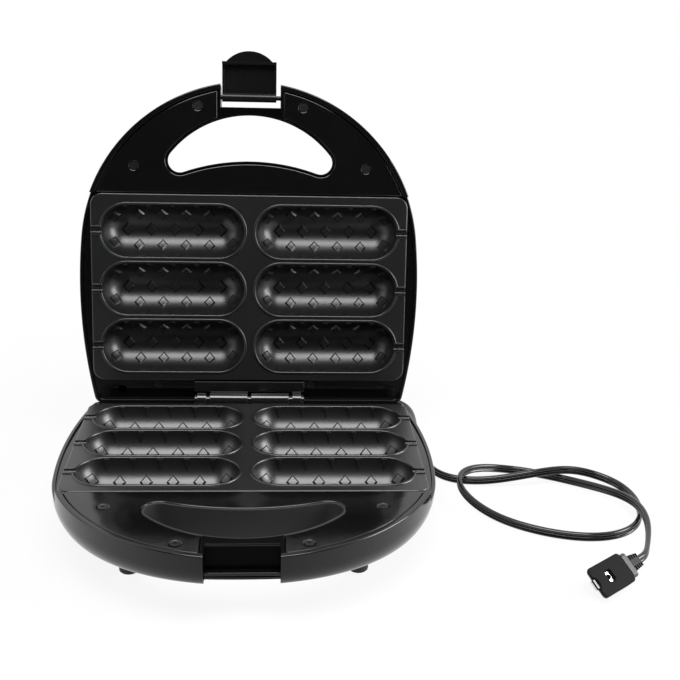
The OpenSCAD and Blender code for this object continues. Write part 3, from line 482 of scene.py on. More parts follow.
def new_group(name, inputs, outputs):
    """A node group with number sockets, and its nodes for what is given and what results."""
    group = bpy.data.node_groups.new(name, "ShaderNodeTree")
    for direction, labels in (("INPUT", inputs), ("OUTPUT", outputs)):
        for label in labels:
            group.interface.new_socket(label, in_out=direction, socket_type="NodeSocketFloat")
    return group, group.nodes.new("NodeGroupInput"), group.nodes.new("NodeGroupOutput")


def add(tree, kind, **settings):
    """A new node with its settings."""
    node = tree.nodes.new(kind)
    for key, value in settings.items():
        setattr(node, key, value)
    return node


def math_node(tree, operation, a, b=None):
    """The result of an operation on numbers or sockets."""
    node = add(tree, "ShaderNodeMath", operation=operation)
    for socket, value in zip(node.inputs, (a, b)):
        if isinstance(value, (int, float)):
            socket.default_value = value
        elif value is not None:
            tree.links.new(value, socket)
    return node.outputs[0]


def surface_group():
    """Fine grain and broad smudges of a moulded or coated surface, on the piece's own coordinates."""
    group, given, result = new_group(
        "surface_finish", ["Grain Scale", "Smudge Scale", "Roughness", "Roughness Spread"],
        ["Roughness", "Grain", "Smudge"])
    place = add(group, "ShaderNodeTexCoord")
    grain = add(group, "ShaderNodeTexNoise", noise_dimensions="3D")
    grain.inputs["Detail"].default_value = GRAIN_DETAIL
    smudge = add(group, "ShaderNodeTexNoise", noise_dimensions="3D")
    smudge.inputs["Detail"].default_value = SMUDGE_DETAIL
    smudge.inputs["Roughness"].default_value = SMUDGE_ROUGHNESS
    for texture, scale in ((grain, "Grain Scale"), (smudge, "Smudge Scale")):
        group.links.new(place.outputs["Object"], texture.inputs["Vector"])
        group.links.new(given.outputs[scale], texture.inputs["Scale"])
    centred = math_node(group, "SUBTRACT", smudge.outputs[0], SMUDGE_MIDDLE)
    spread = math_node(group, "MULTIPLY", centred, given.outputs["Roughness Spread"])
    level = math_node(group, "ADD", math_node(group, "MULTIPLY", spread, SMUDGE_GAIN), given.outputs["Roughness"])
    group.links.new(level, result.inputs["Roughness"])
    group.links.new(grain.outputs[0], result.inputs["Grain"])
    group.links.new(smudge.outputs[0], result.inputs["Smudge"])
    return group


SURFACE = surface_group()


def finish(name, colour, tint, rough, spread, grain, bump, specular=0.5, metal=0.0):
    """A Principled material: its colour drifts towards tint with the smudges, and the grain lifts its surface."""
    material = bpy.data.materials.new(name)
    material.use_nodes = True
    tree = material.node_tree
    shader = tree.nodes["Principled BSDF"]
    shader.inputs["Specular IOR Level"].default_value = specular
    shader.inputs["Metallic"].default_value = metal
    surface = add(tree, "ShaderNodeGroup", node_tree=SURFACE)
    for socket, value in (("Grain Scale", grain), ("Smudge Scale", SMUDGE_SCALE),
                          ("Roughness", rough), ("Roughness Spread", spread)):
        surface.inputs[socket].default_value = value
    mix = add(tree, "ShaderNodeMix", data_type="RGBA")
    mix.inputs[MIX_A].default_value = (*colour, 1)
    mix.inputs[MIX_B].default_value = (*tint, 1)
    lift = add(tree, "ShaderNodeBump")
    lift.inputs["Strength"].default_value = bump
    lift.inputs["Distance"].default_value = GRAIN_HEIGHT * MM
    tree.links.new(surface.outputs["Smudge"], mix.inputs[0])
    tree.links.new(mix.outputs[MIX_RESULT], shader.inputs["Base Color"])
    tree.links.new(surface.outputs["Roughness"], shader.inputs["Roughness"])
    tree.links.new(surface.outputs["Grain"], lift.inputs["Height"])
    tree.links.new(lift.outputs["Normal"], shader.inputs["Normal"])
    return material


gloss_black = finish("gloss_black", (0.0020, 0.0020, 0.0022), (0.0036, 0.0036, 0.0039),
                     rough=0.10, spread=0.03, grain=420, bump=0.02, specular=0.55)
satin_black = finish("satin_black", (0.0022, 0.0022, 0.0024), (0.0045, 0.0045, 0.0048),
                     rough=0.28, spread=0.05, grain=900, bump=0.08, specular=0.30)
collar_black = finish("collar_black", (0.028, 0.028, 0.029), (0.038, 0.038, 0.0395),
                      rough=0.52, spread=0.05, grain=700, bump=0.08, specular=0.15)
# Near black with hardly any reflection: painted shade for deep recesses, used on the latch post's face in the notch
# and on the lid's finger opening
recess_shade_black = finish("recess_shade_black", (0.0010, 0.0010, 0.0011), (0.0020, 0.0020, 0.0022),
                    rough=0.30, spread=0.05, grain=700, bump=0.05, specular=0.06)
sleeve_black = finish("sleeve_black", (0.0035, 0.0035, 0.0037), (0.0065, 0.0065, 0.0069),
                      rough=0.45, spread=0.06, grain=900, bump=0.12, specular=0.04)
coated_grey = finish("coated_grey", (0.0042, 0.0044, 0.0047), (0.0074, 0.0077, 0.0082),
                     rough=0.32, spread=0.04, grain=1100, bump=0.15, specular=0.75)
hinge_black = finish("hinge_black", (0.006, 0.006, 0.0064), (0.010, 0.010, 0.0108),
                     rough=0.15, spread=0.04, grain=500, bump=0.03, specular=0.8)
panel_screw = finish("panel_screw", (0.060, 0.060, 0.063), (0.105, 0.105, 0.11),
                     rough=0.36, spread=0.08, grain=800, bump=0.08, metal=1.0)
screw_steel = finish("screw_steel", (0.10, 0.10, 0.105), (0.17, 0.17, 0.175),
                     rough=0.30, spread=0.08, grain=800, bump=0.10, metal=1.0)
heater_steel = finish("heater_steel", (0.30, 0.30, 0.31), (0.40, 0.39, 0.38),
                      rough=0.42, spread=0.08, grain=800, bump=0.10, metal=1.0)
sheet_metal = finish("sheet_metal", (0.70, 0.71, 0.72), (0.78, 0.79, 0.80),
                     rough=0.28, spread=0.06, grain=500, bump=0.05, metal=1.0)
foot_rubber = finish("foot_rubber", (0.012, 0.012, 0.012), (0.022, 0.022, 0.022),
                     rough=0.62, spread=0.08, grain=700, bump=0.25)
cord_rubber = finish("cord_rubber", (0.0040, 0.0042, 0.0044), (0.0075, 0.0077, 0.0081),
                     rough=0.15, spread=0.04, grain=900, bump=0.05, specular=0.55)
relief_black = finish("relief_black", (0.007, 0.0072, 0.0076), (0.013, 0.0134, 0.014),
                      rough=0.40, spread=0.06, grain=800, bump=0.12, specular=0.14)
plug_grey = finish("plug_grey", (0.034, 0.035, 0.037), (0.050, 0.051, 0.054),
                   rough=0.38, spread=0.06, grain=800, bump=0.12, specular=0.30)
nickel = finish("nickel", (0.70, 0.69, 0.66), (0.80, 0.79, 0.76),
                rough=0.18, spread=0.06, grain=600, bump=0.05, metal=1.0)
ceramic = finish("ceramic", (0.70, 0.70, 0.66), (0.78, 0.78, 0.75),
                 rough=0.50, spread=0.06, grain=700, bump=0.12)
red_lens = finish("red_lens", (0.30, 0.012, 0.010), (0.40, 0.020, 0.016),
                  rough=0.12, spread=0.03, grain=300, bump=0.02)
green_lens = finish("green_lens", (0.012, 0.20, 0.035), (0.020, 0.28, 0.050),
                    rough=0.12, spread=0.03, grain=300, bump=0.02)

NODE_FINISH = {
    satin_black: ["latch_clip", "latch_pin"],
    hinge_black: ["hinge_base_leaf", "hinge_lid_leaf", "hinge_pin"],
    panel_screw: ["lower_panel_screws", "upper_panel_screws"],
    screw_steel: ["lower_plate_screws", "upper_plate_screws", "upper_rear_screws", "hinge_base_screws",
                  "hinge_lid_screws"],
    heater_steel: ["lower_heating_rods", "upper_heating_rods", "thermostat"],
    sheet_metal: ["lower_reflector", "upper_reflector"],
    foot_rubber: ["rubber_feet", "cord_bush"],
    relief_black: ["plug_strain_relief"],
    plug_grey: ["plug_body"],
    nickel: ["plug_blades"],
    ceramic: ["thermal_fuse", "terminal_block", "lamp_holder"],
    red_lens: ["power_lens"],
    green_lens: ["ready_lens"],
}
ROUNDED = {
    "latch_clip": 0.35, "plug_body": 0.6, "plug_strain_relief": 0.25, "plug_blades": 0.2, "hinge_base_leaf": 0.2,
    "hinge_lid_leaf": 0.2, "hinge_pin": 0.25, "hinge_base_screws": 0.2, "lower_panel_screws": 0.2,
    "upper_panel_screws": 0.2, "upper_rear_screws": 0.2, "rubber_feet": 0.4, "cord_bush": 0.2, "power_lens": 0.25,
    "ready_lens": 0.25,
}


def dress_nodes():
    """Each solid carried over gets its finish, and those in sight get rounded edges."""
    for material, names in NODE_FINISH.items():
        for name in names:
            nodes[name].data.materials.clear()
            nodes[name].data.materials.append(material)
    for name, width in ROUNDED.items():
        node = nodes[name]
        node.modifiers.new("weld", "WELD").merge_threshold = NODE_WELD_GAP * MM
        rounding = node.modifiers.new("edge_rounding", "BEVEL")
        rounding.width, rounding.segments = width * MM, SMALL_ROUND_STEPS
        rounding.limit_method, rounding.angle_limit = "ANGLE", math.radians(NODE_SHARP_TURN)
        node.modifiers.new("even_normals", "WEIGHTED_NORMAL").keep_sharp = True


# Shells


# Columns of points round half the wall: those before REAR_FROM have the handle's rim, the others the deck
STEP_TURN = math.degrees(math.asin((HANDLE_Y + FRONT_CENTRE) / FRONT_R))
REAR_FROM = 48
FRONT_STEPS = 14
FRONT_TURNS = np.radians(np.concatenate([
    np.linspace(-90, STEP_TURN, REAR_FROM), np.linspace(STEP_TURN, math.degrees(SIDE_START), FRONT_STEPS)]))
SIDE_STEPS = 24
CORNER_STEPS = 10
SWEEP_STEPS = 15
SWEEP_TURNS = np.radians(np.linspace(90, 0, SWEEP_STEPS))

# What differs between the halves: the notch's back, the hinge seat's top and how far the opening widens backwards
Half = namedtuple("Half", "name body place notch_y seat_top spread collar_finish")
HALVES = [
    Half("lower", "base", in_base, notch_y=127, seat_top=-7.35, spread=0.0, collar_finish=collar_black),
    # The lid's collar takes the near-black painted shade of the latch post
    Half("upper", "lid", in_lid, notch_y=124.9, seat_top=2.15, spread=8.0, collar_finish=recess_shade_black),
]


def half_plan(side, front, rear):
    """Half a level of the wall: (inset, height) at the sides, under the front and at the rear."""
    r = max(REAR_CORNER_R - rear[0], CORNER_MIN_R)
    cy = REAR_Y - rear[0] - r
    cx = -SIDE_CENTRE + math.sqrt((SIDE_R - side[0] - r) ** 2 - cy ** 2)
    side_end = math.atan2(cy, cx + SIDE_CENTRE)
    a = FRONT_TURNS
    share = np.maximum((math.sin(SIDE_START) - np.sin(a)) / (1 + math.sin(SIDE_START)), 0) ** FRONT_EASE
    reach = FRONT_R - side[0] - (front[0] - side[0]) * share
    parts = [np.column_stack([reach * np.cos(a), -FRONT_CENTRE + reach * np.sin(a),
                              side[1] + (front[1] - side[1]) * share])]
    t = np.arange(1, SIDE_STEPS + 1) / SIDE_STEPS
    a = SIDE_START + (side_end - SIDE_START) * t
    parts.append(np.column_stack([-SIDE_CENTRE + (SIDE_R - side[0]) * np.cos(a), (SIDE_R - side[0]) * np.sin(a),
                                  side[1] + (rear[1] - side[1]) * t ** REAR_EASE]))
    t = np.arange(1, CORNER_STEPS + 1) / CORNER_STEPS
    a = side_end + (math.pi / 2 - side_end) * t
    parts.append(np.column_stack([cx + r * np.cos(a), cy + r * np.sin(a), np.full(CORNER_STEPS, rear[1])]))
    return np.concatenate(parts)


def plan_ring(side, front, rear):
    """A whole level of the wall, the left half mirrored."""
    half = half_plan(side, front, rear)
    return np.concatenate([half, half[:0:-1] * (-1, 1, 1)])


def level_ring(inset, z):
    """A level of the wall with one inset and one height all round."""
    return plan_ring((inset, z), (inset, z), (inset, z))


def skin(t):
    """Levels of a wall set in by t: from the flat belly out along the sweep to the straight part."""
    rings = []
    side, front, rear = (inset + t for inset in BELLY_INSET)
    sweep = [(BELLY_INSET[0] * SWEEP_SHARE, t - DEPTH), (HANDLE_FILLET, t - HANDLE_DEPTH), (BELLY_INSET[2], t - DEPTH)]
    for share in BELLY_SHARES:
        rings.append(plan_ring(*[(inset + (full - inset) * share, z + (t - DEPTH - z) * share)
                                 for (inset, z), full in zip(sweep, (side, front, rear + BELLY_REAR_END))]))
    for a in SWEEP_TURNS:
        turn, inset, start = 1 - math.cos(a), t * math.cos(a), t * math.sin(a) - STRAIGHT
        belly_z = start - (DEPTH - STRAIGHT) * math.sin(a)
        rings.append(plan_ring(
            (inset + BELLY_INSET[0] * SWEEP_SHARE * turn, belly_z),
            (inset + HANDLE_FILLET * turn, start - (HANDLE_DEPTH - STRAIGHT) * math.sin(a)),
            (inset + BELLY_INSET[2] * turn, belly_z)))
    return rings


def closed(rings):
    """Rings joined into a solid, with a face over each end."""
    points, faces = strip(rings)
    n = len(rings[0])
    return points, faces + [tuple(range(n)), tuple(range(len(points) - 1, len(points) - n - 1, -1))]


def shell_cup():
    """The thin wall with a rounded rim around the handle, and behind it the deck that carries the plate."""
    half = len(half_plan((0, 0), (0, 0), (0, 0)))
    column = np.concatenate([np.arange(half), np.arange(half)[:0:-1]])
    behind = (column >= REAR_FROM)[:, None]
    at_step = (column == REAR_FROM) | (column == REAR_FROM - 1)

    def edge(top):
        return [level_ring(inset, z) for inset, z in reversed(round_over(EDGE_R, top, ROUND_STEPS))]

    front = edge(RIM_Z) + [level_ring(RIM_W - inset, z) for inset, z in round_over(EDGE_R / 2, RIM_Z, ROUND_STEPS)]
    front.append(level_ring(RIM_W, RIM_FOOT_Z))
    lip = np.clip(level_ring(0, DECK_Z), (-DECK_INNER[0], HANDLE_Y, DECK_Z), (DECK_INNER[0], DECK_INNER[1], DECK_Z))
    under = lip - (0, 0, DECK_T)
    rear = edge(REAR_RIM_Z) + [level_ring(WALL_T - REAR_RIM_TAPER, REAR_RIM_Z), level_ring(WALL_T, DECK_Z),
                               lip, under, under, level_ring(WALL_T, DECK_Z - DECK_T)]
    rows = skin(0)
    for f, r in zip(front, rear):
        row = np.where(behind, r, f)
        row[at_step, 1] = HANDLE_Y
        rows.append(row)
    for ring in reversed(skin(WALL_T)):
        low = ring.copy()
        low[:, 2] = np.minimum(low[:, 2], DECK_Z - DECK_T)
        rows.append(np.where(behind, low, ring))
    return closed(rows)


def grip_loop(grow=0):
    """The finger opening: two arcs that run into a round end on each side, grown outwards by a wall."""
    x, y = GRIP_END
    front_y = y + math.sqrt((GRIP_FRONT_R - GRIP_END_R) ** 2 - x * x)
    rear_y = y + math.sqrt((GRIP_REAR_R + GRIP_END_R) ** 2 - x * x)
    to_front = math.degrees(math.atan2(y - front_y, x))
    to_rear = math.degrees(math.atan2(y - rear_y, x))
    return np.concatenate([
        arc((0, front_y), GRIP_FRONT_R + grow, -180 - to_front, to_front, GRIP_FRONT_STEPS + 1)[:-1],
        arc((x, y), GRIP_END_R + grow, to_front, 180 + to_rear, GRIP_END_STEPS)[:-1],
        arc((0, rear_y), GRIP_REAR_R - grow, to_rear, -180 - to_rear, GRIP_REAR_STEPS)[:-1],
        arc((-x, y), GRIP_END_R + grow, -to_rear, 180 - to_front, GRIP_END_STEPS)[:-1]])


def shaft(grow, spread):
    """The finger opening as a solid that widens downwards from the panel."""
    top, bottom = grip_loop(grow), grip_loop(grow + spread)
    return joined(strip([at_height(bottom, -TOOL_DEPTH), at_height(top, 0), at_height(top, TOOL_DEPTH)]),
                  fill([top], TOOL_DEPTH), fill([bottom], -TOOL_DEPTH))


def grip_collar(spread):
    """The wall round the finger opening, with a rounded rim inside the panel's edge."""
    inner = round_over(COLLAR_EDGE, PANEL_Z - COLLAR_DROP, SMALL_ROUND_STEPS)
    outer = [(COLLAR_T - inset, z) for inset, z in reversed(inner)]
    path = inner + [(spread, -TOOL_DEPTH), (COLLAR_T + spread, -TOOL_DEPTH)] + outer
    return strip([at_height(grip_loop(grow), z) for grow, z in path + path[:1]])


def panel_outline():
    """The front arc behind the rim, cut through from the notch to the finger opening and led round that."""
    centre = (0, -FRONT_CENTRE)
    turn = math.degrees(math.asin((PANEL_BACK + FRONT_CENTRE) / PANEL_R))
    cut = math.degrees(math.acos(PANEL_CUT / PANEL_R))
    hole = grip_loop(PANEL_LEDGE)
    front, rest = hole[:GRIP_FRONT_STEPS], hole[GRIP_FRONT_STEPS:]
    corner = np.array([(PANEL_CUT, np.interp(PANEL_CUT, front[:, 0], front[:, 1]))])
    return np.concatenate([
        arc(centre, PANEL_R, -cut, turn, PANEL_STEPS), arc(centre, PANEL_R, 180 - turn, 180 + cut, PANEL_STEPS),
        corner * (-1, 1), front[front[:, 0] < -PANEL_CUT][::-1], rest[::-1],
        front[front[:, 0] > PANEL_CUT][::-1], corner])


def handle_panel():
    """A plate with rounded edges, a round hole over each screw, and a skirt beside the cooking plate."""
    holes = [circle((side * x, y), SCREW_HOLE_R, HOLE_STEPS, clockwise=True)
             for x, y in PANEL_SCREWS for side in (-1, 1)]
    plate = slab([panel_outline(), *holes], PANEL_Z, PANEL_Z - PANEL_T, PANEL_EDGE, ROUND_STEPS)
    half, thick, deep = PANEL_SKIRT
    return joined(plate, block((-half, PANEL_BACK - thick - PANEL_SKIRT_GAP, -deep),
                               (half, PANEL_BACK - PANEL_SKIRT_GAP, PANEL_Z - PANEL_SKIRT_DROP)))


def filled_skin(t):
    """The body as a solid, its skin set in by t."""
    return closed(skin(t) + [level_ring(t, RIM_Z)])


def base_details(notch_y, seat):
    """The hinge's seat, the trim along the notch, the bar that the latch catches, and a boss over each front foot."""
    trim_w, trim_h = NOTCH_TRIM
    trim = block((-NOTCH_HALF, -notch_y - NOTCH_TRIM_LAP, PANEL_Z - trim_h),
                 (NOTCH_HALF, trim_w - notch_y, PANEL_Z + NOTCH_TRIM_LAP), NOTCH_TRIM_EDGE)
    bar = block((-NOTCH_HALF - CATCH_BAR_LAP, -notch_y - CATCH_BAR_D, CATCH_BAR_Z[0]),
                (NOTCH_HALF + CATCH_BAR_LAP, -notch_y + CATCH_BAR_LAP, CATCH_BAR_Z[1]))
    x, y = FOOT_PLACE
    bosses = [prism(circle((side * x, y), FOOT_BOSS_R, CIRCLE_STEPS), FOOT_BOSS_TOP, -DEPTH) for side in (-1, 1)]
    return [seat, trim, bar, *bosses]


def slotted(seat):
    """The lid's hinge seat, with a slot for the hinge's leaf."""
    slot = block((-LEAF_SLOT_HALF, SEAT_Y[0] + LEAF_SLOT_Y[0], LEAF_SLOT_Z[0]),
                 (LEAF_SLOT_HALF, SEAT_Y[1] + LEAF_SLOT_Y[1], LEAF_SLOT_Z[1]), 0)
    return carve(seat, slot)


def make_shells():
    """Both halves: shell, handle panel, the collar round the finger opening and the post behind the notch."""
    inner, outer = filled_skin(WALL_T / 2), filled_skin(COLLAR_INSET)
    post_plan = rectangle(-POST_HALF, POST_FRONT, POST_HALF, GRIP_END[1] - GRIP_END_R)
    whole_post = carve(slab([post_plan], PANEL_Z, -TOOL_DEPTH, POST_EDGE), inner, "INTERSECT")
    whole_cup = shell_cup()
    panel = handle_panel()
    for half in HALVES:
        cup = carve(whole_cup, shaft(COLLAR_T / 2, half.spread))
        post = carve(whole_post, shaft(COLLAR_T - POST_LAP, half.spread))
        collar = carve(grip_collar(half.spread), outer, "INTERSECT")
        notch = prism(rectangle(-NOTCH_HALF, NOTCH_FRONT, NOTCH_HALF, -half.notch_y), NOTCH_TOP, -TOOL_DEPTH)
        seat = block((-SEAT_HALF, SEAT_Y[0], DECK_Z - SEAT_SINK), (SEAT_HALF, SEAT_Y[1], half.seat_top))
        walls = carve(cup, notch)
        if half.body == "base":
            details = base_details(half.notch_y, seat)
        else:
            details = [slotted(seat)]
            walls = carve(walls, prism(circle(DECK_HOLE_PLACE, DECK_HOLE_R, DECK_HOLE_STEPS), 0, -DECK_HOLE_DEPTH))
        name, place, body = half.name, half.place, half.body
        add_piece(name + "_shell", joined(walls, *details), place, gloss_black, body,
                  [name + "_housing"])
        add_piece(name + "_grip_collar", collar, place, half.collar_finish, body)
        # The post's face in the notch is near black: painted shade of a deep recess
        add_piece(name + "_latch_post", carve(post, notch), place, recess_shade_black, body)
        add_piece(name + "_panel", panel, place, gloss_black, body, [name + "_handle_panel"])


# Griddles


def mould_columns(along, around):
    """Spine place and heading of each column of points round a mould, its stick groove at the +X end."""
    end = np.linspace(-90, 90, around + 1)
    side = np.linspace(MOULD_HALF, -MOULD_HALF, along + 1)[1:-1]
    spine = np.concatenate([np.full(around + 1, MOULD_HALF), side, np.full(around + 1, -MOULD_HALF), side[::-1]])
    turn = np.radians(np.concatenate([end, np.full(len(side), 90), end + 180, np.full(len(side), 270)]))
    return spine, turn


def wall_spot(x, across, turn, r):
    """A point of the mould's wall at radius r, beside a line that leaves the mould's axis at a turn."""
    beyond = np.maximum(np.abs(x) - MOULD_HALF, 0)
    deep = -np.sqrt(r ** 2 - across ** 2 - beyond ** 2)
    z = MID_Z + across * math.sin(turn) + deep * math.cos(turn)
    return np.stack([x, across * math.cos(turn) - deep * math.sin(turn), np.minimum(z, PAD_TOP_Z)], axis=-1)


def pad(x, along, across, turn):
    """A raised pad on the mould's wall from a square grid of places: steep sides and a foot sunk in the wall."""
    n = PAD_STEPS
    grid = np.arange((n + 1) ** 2).reshape(n + 1, n + 1)
    edge = np.concatenate([grid[:-1, 0], grid[-1, :-1], grid[:0:-1, -1], grid[0, :0:-1]])
    tiles = [(grid[i, j], grid[i + 1, j], grid[i + 1, j + 1], grid[i, j + 1]) for i in range(n) for j in range(n)]
    levels = [wall_spot(x + share * along, share * across, turn, MOULD_R + sink) for share, sink in PAD_LEVELS]
    return joined((levels[0], tiles), strip([level[edge] for level in levels]), (levels[-1], tiles))


def mould_pads():
    """Three rows of diamonds along a mould's wall, and a row of pointed teeth under each long rim."""
    a, b = (g.ravel() for g in np.meshgrid(*[np.linspace(0, 1, PAD_STEPS + 1)] * 2, indexing="ij"))
    along, across = DIAMOND_HALF[0] * (a + b - 1), DIAMOND_HALF[1] * (a - b)
    beside, down = TOOTH_SIZE[0] * (1 - a) * (2 * b - 1), TOOTH_SIZE[1] * a
    whole, halves = np.arange(-2, 3) * DIAMOND_PITCH, np.arange(-2.5, 3) * DIAMOND_PITCH
    pads = [pad(x, along, across, 0) for x in whole]
    for side in (-1, 1):
        pads += [pad(x, along, across, side * DIAMOND_ROW) for x in halves]
        pads += [pad(x, beside, -side * down, side * TOOTH_ROW) for x in whole]
    return joined(*pads)


def mould_rings(spine, turn, profile):
    """Rings round a mould, one for each (distance from the spine, height)."""
    return [np.column_stack([spine + d * np.cos(turn), d * np.sin(turn), np.full(len(turn), z)]) for d, z in profile]


def at_moulds(shape):
    """Six copies of a shape, the left column's mirrored."""
    copies = []
    for side in (-1, 1):
        for row in (-1, 0, 1):
            place = (side * MOULD_PITCH[0] / 2, row * MOULD_PITCH[1] + MOULD_SHIFT, 0)
            copies.append((shape[0] * (side, 1, 1) + place, shape[1]))
    return copies


def bowl_profile(r, turns):
    """(distance from the spine, height) down a round wall."""
    return [(r * math.sin(a), MID_Z - r * math.cos(a)) for a in turns]


def cooking_plate():
    """A plate with a skirt, six moulds with their bowls behind, beads, grooves for the sticks, and pads."""
    spine, turn = mould_columns(along=30, around=36)
    wall = bowl_profile(MOULD_R, np.linspace(MOULD_WALL_TURN, 0, MOULD_STEPS))
    moulds = at_moulds(strip(mould_rings(spine, turn, BEAD_PROFILE + wall)))
    mouths = [m[0][:len(turn), :2] for m in moulds]
    spine, turn = mould_columns(along=16, around=12)
    start = math.acos((MID_Z + PLATE_T) / BOWL_R)
    bowls = at_moulds(strip(mould_rings(spine, turn, bowl_profile(BOWL_R, np.linspace(start, 0, BOWL_STEPS)))))
    feet = [b[0][:len(turn), :2] for b in bowls]

    def outline(inset):
        return rounded_rect(PLATE_SIZE[0] - 2 * inset, PLATE_SIZE[1] - 2 * inset, PLATE_CORNER - inset)

    sides = round_over(PLATE_EDGE, 0, ROUND_STEPS)
    sides += [(0, SKIRT_EDGE - SKIRT_H), (SKIRT_EDGE, -SKIRT_H), (SKIRT_T, -SKIRT_H), (SKIRT_T, -PLATE_T)]
    plate = joined(fill([outline(PLATE_EDGE), *mouths], 0), fill([outline(SKIRT_T), *feet], -PLATE_T),
                   strip([at_height(outline(inset), z) for inset, z in sides]), *moulds, *bowls)
    grooves = joined(*at_moulds(rod((MOULD_HALF, 0, MID_Z), GROOVE_END, GROOVE_R)))
    edge_x = (PLATE_SIZE[0] - MOULD_PITCH[0]) / 2
    low, high = STICK_BEAD_Z
    beads = joined(*at_moulds(block((MOULD_HALF + MOULD_R, -STICK_BEAD_HALF, low),
                                    (edge_x - STICK_BEAD_BACK, STICK_BEAD_HALF, high), STICK_BEAD_EDGE)))
    return joined(carve(plate, grooves), carve(beads, grooves), *at_moulds(mould_pads()))


def make_griddles():
    """The same plate in the base and in the lid."""
    plate = cooking_plate()
    add_piece("lower_griddle", plate, in_base, coated_grey, "base", ["lower_plate"], GRIDDLE_SHARP_TURN)
    add_piece("upper_griddle", plate, in_lid, coated_grey, "lid", ["upper_plate"], GRIDDLE_SHARP_TURN)


# Cord


def route_point(i):
    """A point of the route, or the next one beyond an end in a straight line."""
    if i < 0:
        return 2 * np.asarray(CORD_ROUTE[0], float) - CORD_ROUTE[1]
    if i >= len(CORD_ROUTE):
        return 2 * np.asarray(CORD_ROUTE[i - 1], float) - CORD_ROUTE[i - 2]
    return np.asarray(CORD_ROUTE[i], float)


def cord_line():
    """Cubic spline led by the route's points, from the first to the last."""
    line = []
    for i in range(len(CORD_ROUTE) - 1):
        a, b, c, d = (route_point(i + k) for k in (-1, 0, 1, 2))
        for t in np.arange(CORD_STEPS) / CORD_STEPS:
            line.append(((1 - t) ** 3 * a + (3 * t ** 3 - 6 * t ** 2 + 4) * b
                         + (-3 * t ** 3 + 3 * t ** 2 + 3 * t + 1) * c + t ** 3 * d) / 6)
    line.append(route_point(len(CORD_ROUTE) - 1))
    return np.array(line) + (0, PLATE_MIDDLE[1], CORD_LIFT)


def cord_section():
    """Flat lead standing on its edge: two round lobes and, along each side, two grooves that leave a rib."""
    apart = CORD_WIDTH / 2 - CORD_LOBE_R
    deep, wide = CORD_GROOVE
    a = np.linspace(0, 2 * math.pi, CORD_RING_POINTS, endpoint=False)
    lean = np.arcsin(np.abs(np.sin(a)))
    r = apart * np.abs(np.sin(a)) + np.sqrt(CORD_LOBE_R ** 2 - (apart * np.cos(a)) ** 2)
    r -= deep * np.exp(-((lean - CORD_GROOVE_TURN) / wide) ** 2)
    return np.column_stack([r * np.cos(a), r * np.sin(a)])


def at_plug(points):
    """The plug's place: rolled about its length and turned to its heading."""
    x, y, z = np.asarray(points, float).T
    y, z = y * math.cos(PLUG_ROLL) - z * math.sin(PLUG_ROLL), y * math.sin(PLUG_ROLL) + z * math.cos(PLUG_ROLL)
    x, y = x * math.cos(PLUG_TURN) - y * math.sin(PLUG_TURN), x * math.sin(PLUG_TURN) + y * math.cos(PLUG_TURN)
    return np.stack([x, y, z], axis=1) + PLUG_PLACE + (0, PLATE_MIDDLE[1], 0)


def make_plug_sleeve():
    """A flat sleeve with an undercut tip; a window and a scallop in its upper face show the blades."""
    length, width, thick = SLEEVE_SIZE
    profile = round_over(SLEEVE_EDGE, thick / 2, ROUND_STEPS)
    profile += [(inset, -z) for inset, z in reversed(profile)]
    rings = []
    for inset, z in profile:
        ring = at_height(rounded_rect(length - 2 * inset, width - 2 * inset, SLEEVE_CORNER - inset), z)
        ring[ring[:, 0] > 0, 0] -= SLEEVE_UNDERCUT * max(thick / 2 - SLEEVE_EDGE - z, 0)
        rings.append(ring)
    window = prism(rounded_rect(*WINDOW_SIZE, WINDOW_CORNER) + (WINDOW_X, 0), thick, POCKET_Z)
    scallop = prism(circle((SCALLOP_X, 0), SCALLOP_R, CIRCLE_STEPS), thick, POCKET_Z)
    sleeve = carve(carve(closed(rings), window), scallop)
    return add_piece("plug_sleeve", sleeve, at_plug, sleeve_black, "base", ["plug_cover"])


def make_cord():
    """The section led along the route, always standing on its edge, with the plug on the far end."""
    line = cord_line()
    heading = np.gradient(line, axis=0)
    heading[0], heading[-1] = (0, 1, 0), PLUG_HEADING
    heading /= np.linalg.norm(heading, axis=1)[:, None]
    across = np.cross(heading, (0, 0, 1))
    across /= np.linalg.norm(across, axis=1)[:, None]
    over = np.cross(across, heading)
    section = cord_section()
    rings = [[p + a * x + o * z for x, z in section] for p, a, o in zip(line, across, over)]
    cord = add_piece("twin_lead", closed(rings), np.asarray, cord_rubber, "base", ["power_cord"],
                     CORD_SHARP_TURN)
    [nodes[n] for n in ("plug_strain_relief", "plug_body", "plug_blades")] + [make_plug_sleeve()]


# Stage


def sight_mask(tree):
    """1 for what the camera, a reflection or a see-through piece sees directly."""
    path = add(tree, "ShaderNodeLightPath")
    mask = math_node(tree, "MAXIMUM", path.outputs["Is Camera Ray"], path.outputs["Is Glossy Ray"])
    return math_node(tree, "MAXIMUM", mask, path.outputs["Is Transmission Ray"])


def fade(tree, value, low, high):
    """A smooth step of a value, from one (value, result) to another."""
    node = add(tree, "ShaderNodeMapRange", interpolation_type="SMOOTHSTEP")
    for label, number in zip(("From Min", "To Min", "From Max", "To Max"), (*low, *high)):
        node.inputs[label].default_value = number
    tree.links.new(value, node.inputs["Value"])
    return node.outputs[0]


def beside_front(tree, parts, share):
    """Y, raised to both sides by a share of X: low straight in front, high behind and at the sides."""
    aside = math_node(tree, "MULTIPLY", math_node(tree, "ABSOLUTE", parts.outputs["X"]), share)
    return math_node(tree, "ADD", parts.outputs["Y"], aside)


def mix_shaders(tree, factor, first, second, output):
    """Two shaders mixed by a factor, led to the output."""
    choose = add(tree, "ShaderNodeMixShader")
    for source, socket in zip((factor, first, second), choose.inputs):
        tree.links.new(source, socket)
    tree.links.new(choose.outputs[0], tree.nodes[output].inputs["Surface"])


